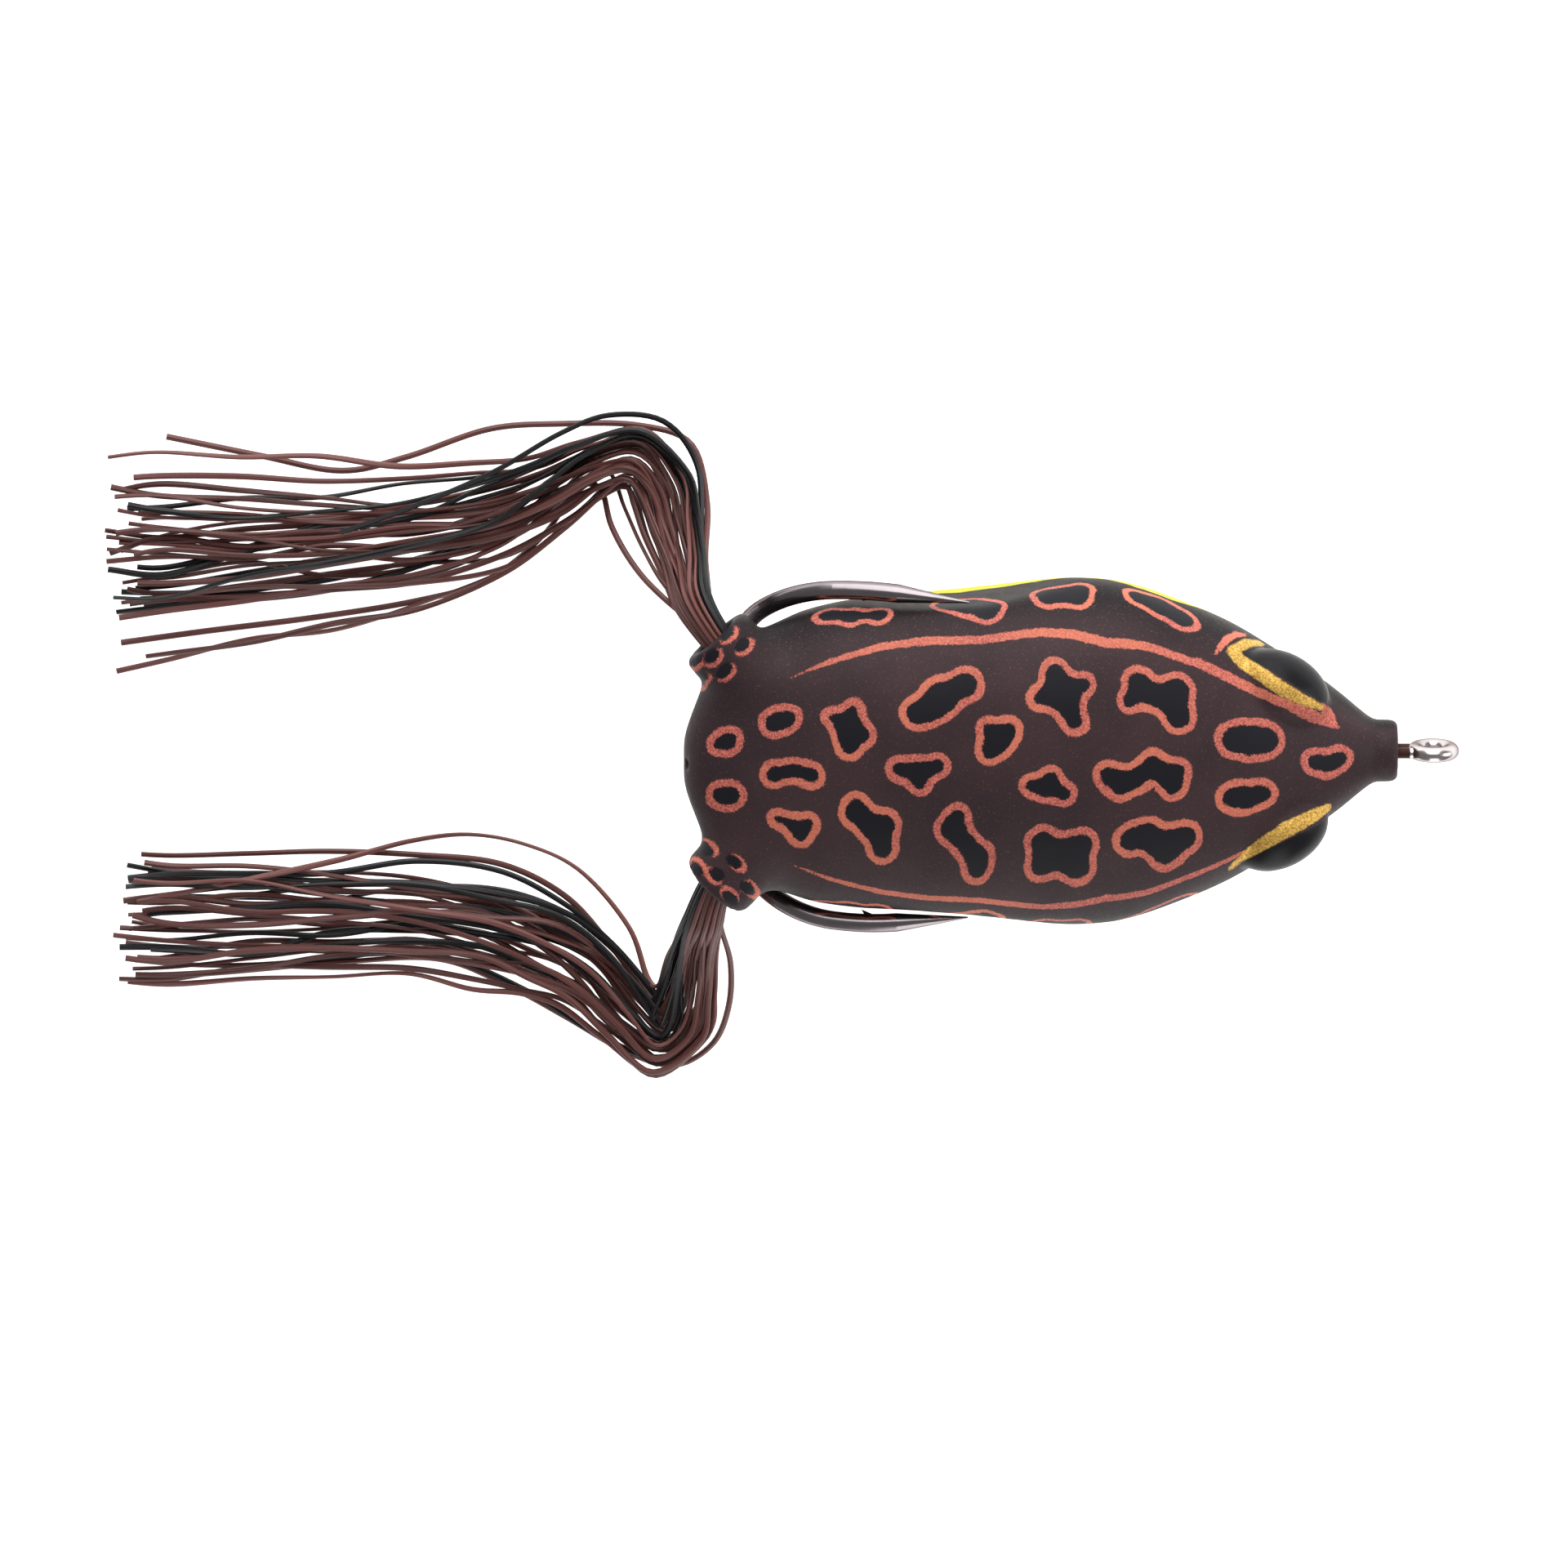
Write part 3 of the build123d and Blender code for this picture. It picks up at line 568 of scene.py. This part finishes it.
def leg_stations(name, side):
    """Middle, sideways direction, up direction and half sizes at every station of a leg."""
    rim, axis = socket_axis(side)
    inner_radii = (ROOT_RADIUS, BUNDLE_RADIUS, BUNDLE_RADIUS)
    inner = [(*(rim - axis * depth), radius, radius) for depth, radius in zip(INNER_DEPTHS, inner_radii)]
    stations = np.array(inner + LEG_ROUTES[name])
    middles, sizes = stations[:, :3], stations[:, 3:]
    directions = np.gradient(middles, axis=0)
    level = directions * np.array([1, 1, 0])
    level /= np.linalg.norm(level, axis=1)[:, None]
    sideways = np.cross([0, 0, 1], level)
    directions /= np.linalg.norm(directions, axis=1)[:, None]
    upward = np.cross(directions, sideways)
    return middles, sideways, upward, sizes


def hexagon_places():
    """Places of strands packed side by side in a round bundle, as fractions of its radius."""
    places = [(0.0, 0.0)]
    for ring in range(1, STRAND_RINGS + 1):
        for step in range(6 * ring):
            angle = 2 * math.pi * step / (6 * ring)
            places.append((ring / STRAND_RINGS * math.cos(angle), ring / STRAND_RINGS * math.sin(angle)))
    return np.array(places) * (STRAND_RINGS / (STRAND_RINGS + 0.5))


def smooth_curve(places, positions):
    """Catmull-Rom curve through places, read at fractional positions."""
    padded = np.vstack([2 * places[0] - places[1], places, 2 * places[-1] - places[-2]])
    index = np.clip(positions.astype(int), 0, len(places) - 2)
    t = (positions - index)[:, None]
    a, b, c, d = (padded[index + shift] for shift in range(4))
    return 0.5 * (2 * b + (c - a) * t + (2 * a - 5 * b + 4 * c - d) * t ** 2
                  + (3 * b - 3 * c + d - a) * t ** 3)


def lengths_along(path):
    """The length of the path up to each of its points."""
    return np.concatenate([[0], np.cumsum(np.linalg.norm(np.diff(path, axis=0), axis=1))])


def even_steps(path, extra, step):
    """The path and its extra value again, at even steps along its length."""
    lengths = lengths_along(path)
    marks = np.linspace(0, lengths[-1], max(int(lengths[-1] / step), 2))
    spaced = np.stack([np.interp(marks, lengths, path[:, axis]) for axis in range(3)], axis=-1)
    return spaced, np.interp(marks, lengths, extra)


def ranks(values):
    """Each value's place in their order, from -1 for the lowest to 1 for the highest."""
    order = np.argsort(np.argsort(values))
    return 2 * (order + 0.5) / len(values) - 1


def stray_strand(name, side, places, offset):
    """A strand that goes through its own places once it is out of the socket."""
    rim, axis = socket_axis(side)
    inner = [rim - axis * depth + offset for depth in INNER_DEPTHS]
    places = np.vstack([inner, places])
    last_station = INNER_STATIONS + len(LEG_ROUTES[name]) - 1
    positions = np.linspace(0, len(places) - 1, PATH_SAMPLES)
    stations = positions * last_station / (len(places) - 1)
    return even_steps(smooth_curve(places, positions), stations, STRAND_STEP)


def bundle_strands(name, side, generator):
    """The strands that keep together: the path of each, the station along it, and its colour."""
    middles, sideways, upward, sizes = leg_stations(name, side)
    stations = np.arange(len(middles))
    packed = hexagon_places()
    total = len(packed)
    black = packed[:, 0] < np.sort(packed[:, 0])[int(BLACK_SHARE * total)]
    loose = np.clip((stations - INNER_STATIONS) / 4, 0, 1) ** 0.8
    astray = np.clip((stations - KNEE_STATION) / 4, 0, 1)
    crossed = np.clip((stations - KNEE_STATION) / 7, 0, 1)
    at_knee = ranks(packed[:, 0] + generator.normal(0, KNEE_SCATTER, total))
    at_tips = ranks(at_knee + generator.normal(0, CROSSING, total) + BLACK_DRIFT[name] * black)
    layer = generator.uniform(-1, 1, total)
    strands = []
    for place, knee, tip, height, is_black in zip(packed, at_knee, at_tips, layer, black):
        steps = generator.normal(0, WANDER, (len(stations), 2))
        wander = np.cumsum(steps, axis=0) * astray[:, None]
        target = knee * (1 - crossed) + tip * crossed
        across = (place[0] * (1 - loose) + target * loose + wander[:, 0]) * sizes[:, 0]
        above = (place[1] * (1 - loose) + height * loose + wander[:, 1]) * sizes[:, 1]
        spots = middles + sideways * across[:, None] + upward * above[:, None]
        end = stations[-1] - generator.uniform(0, UNEVEN_TIPS)
        positions = np.linspace(0, end, PATH_SAMPLES)
        path, station = even_steps(smooth_curve(spots, positions), positions, STRAND_STEP)
        strands.append((path, station, "black" if is_black else "brown"))
    return strands


def leg_strands(name, side, generator):
    """Every strand of one leg, none of them lower than what the lure lies on."""
    strands = bundle_strands(name, side, generator)
    for colour, places in STRAYS[name]:
        offset = generator.normal(0, STRAY_SPREAD, 3)
        strands.append((*stray_strand(name, side, places, offset), colour))
    for path, station, colour in strands:
        path[:, 2] = np.maximum(path[:, 2], REST_Z + STRAND_RADIUS)
    return strands


def tube_rings(path, radii, shade):
    """Flattened rings round a path. The flat side turns slowly, one way or the other by the shade."""
    tangents = np.gradient(path, axis=0)
    tangents /= np.linalg.norm(tangents, axis=1)[:, None]
    normal = np.cross(tangents[0], [0.3, 0.2, 1.0])
    angles = np.linspace(0, 2 * math.pi, STRAND_SIDES, endpoint=False)
    turn = STRAND_TURN * (2 * shade - 1)
    rings = []
    for place, tangent, radius in zip(path, tangents, radii):
        normal = normal - tangent * (normal @ tangent)
        normal /= np.linalg.norm(normal)
        other = np.cross(tangent, normal)
        normal, other = (normal * math.cos(turn) + other * math.sin(turn),
                         other * math.cos(turn) - normal * math.sin(turn))
        wide = np.cos(angles)[:, None] * normal
        thin = np.sin(angles)[:, None] * other * STRAND_FLATNESS
        rings.append(place + radius * (wide + thin))
    return np.array(rings)


def tube_faces(base, ring_count):
    """The faces of a tube's wall. Its first and last rings are kept for the end faces."""
    faces = []
    for ring in range(1, ring_count - 2):
        here = base + ring * STRAND_SIDES
        beyond = here + STRAND_SIDES
        for side in range(STRAND_SIDES):
            following = (side + 1) % STRAND_SIDES
            faces.append((here + side, here + following, beyond + following, beyond + side))
    return faces


def tube_corners(lengths):
    """Place round the strand, and along it, of each corner of the same faces."""
    corners = []
    for start, end in zip(lengths, lengths[1:]):
        for side in range(STRAND_SIDES):
            left = side / STRAND_SIDES
            right = (side + 1) / STRAND_SIDES
            corners += [(left, start), (right, start), (right, end), (left, end)]
    return corners


def strand_piece(name, parts):
    """One mesh of many strands. Each part is a tube of rings, the length up to each, and a shade.

    The first and last ring of a strand belong to its end faces alone, so that the ends stay sharp.
    """
    vertices, faces, corners, shades = [], [], [], []
    base = 0
    for tube, lengths, shade in parts:
        rings = np.concatenate([tube[:1], tube, tube[-1:]])
        count = rings.shape[0] * STRAND_SIDES
        last = base + count - STRAND_SIDES
        vertices.append(rings.reshape(-1, 3))
        shades += [shade] * count
        faces += tube_faces(base, len(rings))
        faces.append(tuple(base + side for side in reversed(range(STRAND_SIDES))))
        faces.append(tuple(last + side for side in range(STRAND_SIDES)))
        corners += tube_corners(lengths)
        corners += [(0.5, lengths[0])] * STRAND_SIDES + [(0.5, lengths[-1])] * STRAND_SIDES
        base += count
    mesh = bpy.data.meshes.new(name)
    mesh.from_pydata((np.vstack(vertices) * MM).tolist(), [], faces)
    layer = mesh.uv_layers.new(name="around_and_along")
    layer.data.foreach_set("uv", np.array(corners, dtype=np.float32).ravel())
    piece = new_piece(name, mesh)
    store(piece, "shade", np.array(shades))
    smooth_shading(piece)
    return piece


def cut_strands(name, side, seed):
    """The strands of one leg as tubes, cut into an upper and a lower part, by colour."""
    generator = np.random.default_rng(seed)
    split = INNER_STATIONS + SPLIT_STATION
    upper = {"brown": [], "black": []}
    lower = {"brown": [], "black": []}
    for path, station, colour in leg_strands(name, side, generator):
        shade = generator.uniform(0, 1)
        radii = np.interp(station, FATTENING, [BAND_STRAND_RADIUS, STRAND_RADIUS])
        tube = tube_rings(path, radii, shade)
        lengths = lengths_along(path)
        cut = int(np.argmax(station > split))
        upper[colour].append((tube[:cut + 1], lengths[:cut + 1], shade))
        lower[colour].append((tube[cut:], lengths[cut:], shade))
    return upper, lower


def skirt_leg(name, side, seed):
    """The strands of one leg, in an upper and a lower piece of each colour."""
    upper, lower = cut_strands(name, side, seed)
    thigh, shin = name + "_thigh", name + "_shin"
    for colour in ("brown", "black"):
        top = strand_piece(f"{name}_strands_upper_{colour}", upper[colour])
        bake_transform(top)
        replaced = [f"{thigh}_{colour}"]
        if colour == "brown":
            replaced.append(name + "_skirt_root")
        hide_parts(*replaced)
        tail = strand_piece(f"{name}_strands_lower_{colour}", lower[colour])
        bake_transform(tail)
        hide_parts(f"{shin}_{colour}")
        for piece in (top, tail):
            piece.data.materials.append(MATERIALS[colour + "_strand"])


# ---- material helpers ---------------------------------------------------------------------------
def colour(rgb):
    """A shader colour from one given as it looks on a screen, 0 to 1."""
    linear = [c / 12.92 if c <= 0.04045 else ((c + 0.055) / 1.055) ** 2.4 for c in rgb]
    return (*linear, 1.0)


class Shader:
    """Builds a material's nodes, with short calls for the nodes used here."""

    def __init__(self, name):
        self.material = bpy.data.materials.new(name)
        self.material.use_nodes = True
        self.tree = self.material.node_tree
        self.surface = self.tree.nodes["Principled BSDF"]
        self.place = self.tree.nodes.new("ShaderNodeTexCoord").outputs["Object"]

    def put(self, socket, value):
        if isinstance(value, bpy.types.NodeSocket):
            self.tree.links.new(value, socket)
        else:
            socket.default_value = value

    def node(self, kind, **inputs):
        node = self.tree.nodes.new(kind)
        for name, value in inputs.items():
            self.put(node.inputs[name.replace("_", " ")], value)
        return node

    def principled(self, **inputs):
        for name, value in inputs.items():
            self.put(self.surface.inputs[name.replace("_", " ")], value)

    def attribute(self, name):
        node = self.tree.nodes.new("ShaderNodeAttribute")
        node.attribute_name = name
        return node.outputs["Fac"]

    def math(self, operation, first, second=0.0, third=0.0):
        node = self.tree.nodes.new("ShaderNodeMath")
        node.operation = operation
        for socket, value in zip(node.inputs, (first, second, third)):
            self.put(socket, value)
        return node.outputs[0]

    def add(self, first, second):
        return self.math("ADD", first, second)

    def scaled(self, value, factor, offset=0.0):
        """The value times a factor, plus an offset."""
        return self.math("MULTIPLY_ADD", value, factor, offset)

    def centred(self, value, reach):
        """A value that runs from 0 to 1, made to run from minus reach to plus reach."""
        return self.scaled(value, 2 * reach, -reach)

    def noise(self, size, detail=2.0, roughness=0.5):
        """Noise whose lumps are about this many millimetres across."""
        node = self.node("ShaderNodeTexNoise", Vector=self.place, Scale=0.6 / (size * MM),
                         Detail=detail, Roughness=roughness)
        return node.outputs["Fac"]

    def ramp(self, value, low, high, out_low=0.0, out_high=1.0):
        """Runs smoothly from one value to another as the input goes from low to high."""
        node = self.tree.nodes.new("ShaderNodeMapRange")
        node.interpolation_type = "SMOOTHSTEP"
        for name, number in (("Value", value), ("From Min", low), ("From Max", high),
                             ("To Min", out_low), ("To Max", out_high)):
            self.put(node.inputs[name], number)
        return node.outputs["Result"]

    def mix(self, share, first, second):
        """Between two colours, each a socket or a colour as it looks on a screen."""
        node = self.tree.nodes.new("ShaderNodeMix")
        node.data_type = "RGBA"
        self.put(node.inputs["Factor"], share)
        for socket, value in zip((node.inputs[6], node.inputs[7]), (first, second)):
            self.put(socket, value if isinstance(value, bpy.types.NodeSocket) else colour(value))
        return node.outputs[2]

    def bump(self, height, distance, normal=None):
        """Raises the surface by height times this many millimetres."""
        node = self.node("ShaderNodeBump", Height=height, Distance=distance * MM)
        if normal is not None:
            self.put(node.inputs["Normal"], normal)
        return node.outputs["Normal"]


# ---- materials ----------------------------------------------------------------------------------
def painted(s, name, wobble=None, soft=0.07):
    """1 inside a painted shape, with the grain of sprayed paint at its edge."""
    distance = s.add(s.attribute(name), s.centred(s.noise(0.10, 3.0, 0.7), 0.25))
    if wobble is not None:
        distance = s.add(distance, wobble)
    return s.ramp(distance, -soft, soft, 1.0, 0.0)


def back_colour(s, patches, copper):
    """Brown, with painted shade that darkens it towards the flanks, and a fine copper speckle."""
    brown = s.mix(s.ramp(patches, 0.3, 0.7), *BROWN)
    # painted shade: the brown darkens towards the body's widest line, where its sides turn away from the
    # lights
    brown = s.mix(s.ramp(s.attribute("girth"), 16.0, 46.0, 1.0, 0.0), brown, PAINTED_FLANK_SHADE)
    return s.mix(s.math("MULTIPLY", copper, 0.32), brown, COPPER)


def with_belly(s, back, hand, grain, patches):
    """Adds the belly: yellow along its edge, cream below, with a black line between it and the back."""
    edge = s.attribute("yellow")
    wavy_edge = s.add(edge, s.math("MULTIPLY", hand, 1.4))
    yellow = s.mix(s.ramp(grain, 0.35, 0.7), *YELLOW)
    cream = s.mix(s.ramp(patches, 0.35, 0.65), *CREAM)
    belly = s.mix(s.ramp(edge, -5.0, -1.6, 1.0, 0.0), yellow, cream)
    base = s.mix(s.ramp(wavy_edge, -0.1, 0.1, 1.0, 0.0), back, belly)
    line = s.ramp(s.math("ABSOLUTE", wavy_edge), 0.28, 0.42, 1.0, 0.0)
    return s.mix(line, base, BELLY_EDGING)


def with_spots(s, base, hand, fine_hand, grain):
    """Adds the orange stripes and rings, and the black cores."""
    orange = s.mix(s.ramp(grain, 0.40, 0.60), *ORANGE)
    orange = s.mix(s.ramp(s.noise(6.0), 0.4, 0.65, 0.0, 0.5), orange, WARM_ORANGE)
    black = s.mix(s.ramp(grain, 0.5, 0.8), *SPOT_BLACK)
    base = s.mix(painted(s, "orange", fine_hand), base, orange)
    base = s.mix(painted(s, "spot", hand), base, orange)
    return s.mix(painted(s, "core", s.add(hand, fine_hand)), base, black)


def skin_material():
    """Brown soft plastic with sprayed orange rings, black cores, gold eye rims and a yellow belly."""
    s = Shader("frog_skin")
    hand = s.centred(s.noise(1.1), 0.23)
    fine_hand = s.centred(s.noise(0.45), 0.13)
    grain = s.noise(0.12, 2.0, 0.8)
    patches = s.noise(6.0, 3.0, 0.55)
    copper = s.ramp(grain, 0.58, 0.70)
    gold_mask = painted(s, "gold", fine_hand, 0.1)
    eye_mask = painted(s, "eye", soft=0.12)

    base = back_colour(s, patches, copper)
    base = with_belly(s, base, hand, grain, patches)
    base = with_spots(s, base, hand, fine_hand, grain)
    base = s.mix(gold_mask, base, s.mix(s.ramp(grain, 0.38, 0.62), *GOLD))
    base = s.mix(eye_mask, base, EYE_BLACK)

    rough = s.scaled(eye_mask, -0.15, s.scaled(s.noise(0.6), 0.12, 0.44))
    metal = s.math("MAXIMUM", s.math("MULTIPLY", gold_mask, 0.45), s.math("MULTIPLY", copper, 0.25))
    texture = s.bump(s.noise(4.0, 1.0), 0.22, normal=s.bump(s.noise(0.35, 3.0), 0.012))
    s.principled(Base_Color=base, Roughness=rough, Metallic=metal, Normal=texture)
    s.principled(Specular_IOR_Level=0.13)
    return s.material


def strand_material(name, tones):
    """Silicone rubber strand, ribbed along its length, a little different from strand to strand."""
    s = Shader(name)
    shade = s.attribute("shade")
    uv = s.tree.nodes.new("ShaderNodeUVMap")
    uv.uv_map = "around_and_along"
    parts = s.node("ShaderNodeSeparateXYZ", Vector=uv.outputs["UV"])
    ribs = s.math("SINE", s.math("MULTIPLY", parts.outputs["X"], 2 * math.pi * STRAND_RIBS))
    streaks = s.node("ShaderNodeCombineXYZ", X=s.math("MULTIPLY", parts.outputs["X"], 9.0),
                     Y=s.math("MULTIPLY", parts.outputs["Y"], 0.25), Z=s.math("MULTIPLY", shade, 40.0))
    streak = s.node("ShaderNodeTexNoise", Vector=streaks.outputs["Vector"], Scale=1.0, Detail=3.0)
    streak = streak.outputs["Fac"]
    tint = s.add(s.math("MULTIPLY", shade, 0.55), s.math("MULTIPLY", streak, 0.6))
    dust = s.ramp(s.noise(0.25, 1.0), 0.80, 0.86)
    base = s.mix(s.ramp(tint, 0.15, 0.95), *tones)
    base = s.mix(s.math("MULTIPLY", dust, 0.5), base, STRAND_DUST)
    s.principled(Base_Color=base, Roughness=s.scaled(streak, 0.25, 0.30),
                 Normal=s.bump(s.scaled(ribs, 0.5, 0.5), 0.02))
    s.principled(Specular_IOR_Level=0.4)
    return s.material


def hook_material():
    """Black nickel: dark, smooth metal with faint drawing marks."""
    s = Shader("black_nickel")
    base = s.mix(s.ramp(s.noise(2.5, 4.0, 0.6), 0.3, 0.7), *BLACK_NICKEL)
    rough = s.scaled(s.noise(0.5, 4.0, 0.7), 0.10, 0.20)
    s.principled(Base_Color=base, Roughness=rough, Normal=s.bump(s.noise(0.3, 3.0), 0.0015))
    s.principled(Metallic=1.0, Specular_Tint=NICKEL_EDGE_TINT)
    return s.material


def wire_material():
    """Bright plated wire, dark red-brown and not metallic on the stem where it enters the nose."""
    s = Shader("bright_wire")
    plating = s.mix(s.ramp(s.noise(1.5, 4.0), 0.3, 0.7), *PLATING)
    dark_stem = s.mix(s.noise(0.3, 3.0), *DARK_STEM)
    along = s.node("ShaderNodeSeparateXYZ", Vector=s.place).outputs["X"]
    along = s.add(along, s.centred(s.noise(0.5), 0.3 * MM))
    on_stem = s.ramp(along, DARK_STEM_END[0] * MM, DARK_STEM_END[1] * MM, 1.0, 0.0)
    rough = s.scaled(on_stem, 0.25, s.scaled(s.noise(0.25, 4.0, 0.7), 0.10, 0.20))
    s.principled(Base_Color=s.mix(on_stem, plating, dark_stem), Metallic=s.math("SUBTRACT", 1.0, on_stem),
                 Roughness=rough, Normal=s.bump(s.noise(0.5), 0.003))
    s.principled(Specular_Tint=WIRE_EDGE_TINT)
    return s.material


def solder_material():
    """Dull, slightly lumpy solder."""
    s = Shader("solder")
    base = s.mix(s.ramp(s.noise(0.8, 4.0), 0.3, 0.7), *SOLDER)
    rough = s.scaled(s.noise(0.4, 3.0), 0.3, 0.25)
    s.principled(Base_Color=base, Roughness=rough, Normal=s.bump(s.noise(0.6, 3.0), 0.05), Metallic=1.0)
    return s.material


def weight_material():
    """Dark paint on a cast weight, thin and scuffed in places."""
    s = Shader("keel_weight_paint")
    scuff = s.ramp(s.noise(0.7, 5.0, 0.7), 0.62, 0.70)
    base = s.mix(scuff, s.mix(s.noise(2.0, 3.0), *WEIGHT_PAINT), BARE_WEIGHT)
    s.principled(Base_Color=base, Roughness=s.scaled(scuff, -0.15, 0.5), Metallic=scuff,
                 Normal=s.bump(s.noise(0.9, 4.0), 0.05))
    return s.material


def rubber_material():
    """Dark rubber or plastic for the nose sleeve and the bands."""
    s = Shader("sleeve")
    base = s.mix(s.noise(0.8, 4.0), *DARK_RUBBER)
    rough = s.scaled(s.noise(0.4, 3.0), 0.2, 0.5)
    s.principled(Base_Color=base, Roughness=rough, Normal=s.bump(s.noise(0.25, 3.0), 0.015))
    return s.material


def floor_material():
    """Plain white paper, bright enough to show no shadow."""
    s = Shader("pale_floor")
    s.principled(Base_Color=s.mix(s.noise(300.0), *FLOOR), Roughness=0.9, Specular_IOR_Level=0.1)
    s.principled(Emission_Color=WHITE, Emission_Strength=FLOOR_GLOW)
    return s.material


MATERIALS = {
    "body_skin": skin_material(),
    "sleeve": rubber_material(),
    "bright_wire": wire_material(),
    "hook_wire": hook_material(),
    "solder": solder_material(),
    "keel_weight": weight_material(),
    "brown_strand": strand_material("brown_strand", BROWN_STRAND),
    "black_strand": strand_material("black_strand", BLACK_STRAND),
}


def give_cad_materials():
    """The hard pieces keep their CAD shape and get a full material each."""
    for part in frame["record"]["subparts"]:
        mesh = frame["nodes"][part["node"]].data
        mesh.materials.clear()
        mesh.materials.append(MATERIALS[part["material_slot"]])


# ---- studio -------------------------------------------------------------------------------------
def floor():
    """A white sheet under the lure."""
    mesh = bpy.data.meshes.new("floor")
    reach = FLOOR_REACH * MM
    height = (REST_Z - FLOOR_DROP) * MM
    corners = [(x * reach, y * reach, height) for x, y in ((-1, -1), (1, -1), (1, 1), (-1, 1))]
    mesh.from_pydata(corners, [], [(0, 1, 2, 3)])
    mesh.materials.append(floor_material())
    new_piece("floor", mesh)


def aim(thing, place, target, up=(0, 0, 1)):
    """Puts a lamp or camera at a place, looking at a target, both in metres."""
    back = (Vector(place) - Vector(target)).normalized()
    right = Vector(up).cross(back).normalized()
    turn = Matrix((right, back.cross(right), back)).transposed()
    thing.matrix_world = Matrix.Translation(place) @ turn.to_4x4()


def soft_light(name, place, size, power):
    """A rectangular softbox aimed at the lure."""
    lamp = bpy.data.lights.new(name, "AREA")
    lamp.shape = "RECTANGLE"
    lamp.size, lamp.size_y = size
    lamp.energy = power
    light = bpy.data.objects.new(name, lamp)
    bpy.context.collection.objects.link(light)
    aim(light, place, (VIEW_CENTRE[0] * MM, 0, 0), up=(1, 0, 0))


def studio():
    """Three soft lights, one each side and one in front, in a pale room."""
    for name, (place, size, power) in SOFT_LIGHTS.items():
        soft_light(name, place, size, power)
    world = bpy.data.worlds.new("studio")
    world.use_nodes = True
    background = world.node_tree.nodes["Background"]
    background.inputs["Color"].default_value = WHITE
    background.inputs["Strength"].default_value = WORLD_STRENGTH
    bpy.context.scene.world = world
    bpy.context.scene.view_settings.view_transform = "Standard"


def camera():
    """Looks down at the lure from the photograph's angle."""
    towards = Vector((0, math.sin(VIEW_TILT), math.cos(VIEW_TILT)))
    up = Vector((0, math.cos(VIEW_TILT), -math.sin(VIEW_TILT)))
    target = (Vector((VIEW_CENTRE[0], 0, 0)) + up * VIEW_CENTRE[1]) * MM
    lens = bpy.data.cameras.new("camera")
    lens.sensor_width = SENSOR_WIDTH
    lens.lens = SENSOR_WIDTH * CAMERA_DISTANCE / VIEW_WIDTH
    lens.clip_end = 10.0
    viewer = bpy.data.objects.new("camera", lens)
    bpy.context.collection.objects.link(viewer)
    aim(viewer, target + towards * CAMERA_DISTANCE * MM, target, up=up)
    bpy.context.scene.camera = viewer


def main():
    """Builds the studio and every piece of the lure."""
    camera()
    studio()
    floor()
    give_cad_materials()
    skin = body_skin()
    skin.data.materials.append(MATERIALS["body_skin"])
    skirt_leg("left", 1, seed=11)
    skirt_leg("right", -1, seed=23)


main()
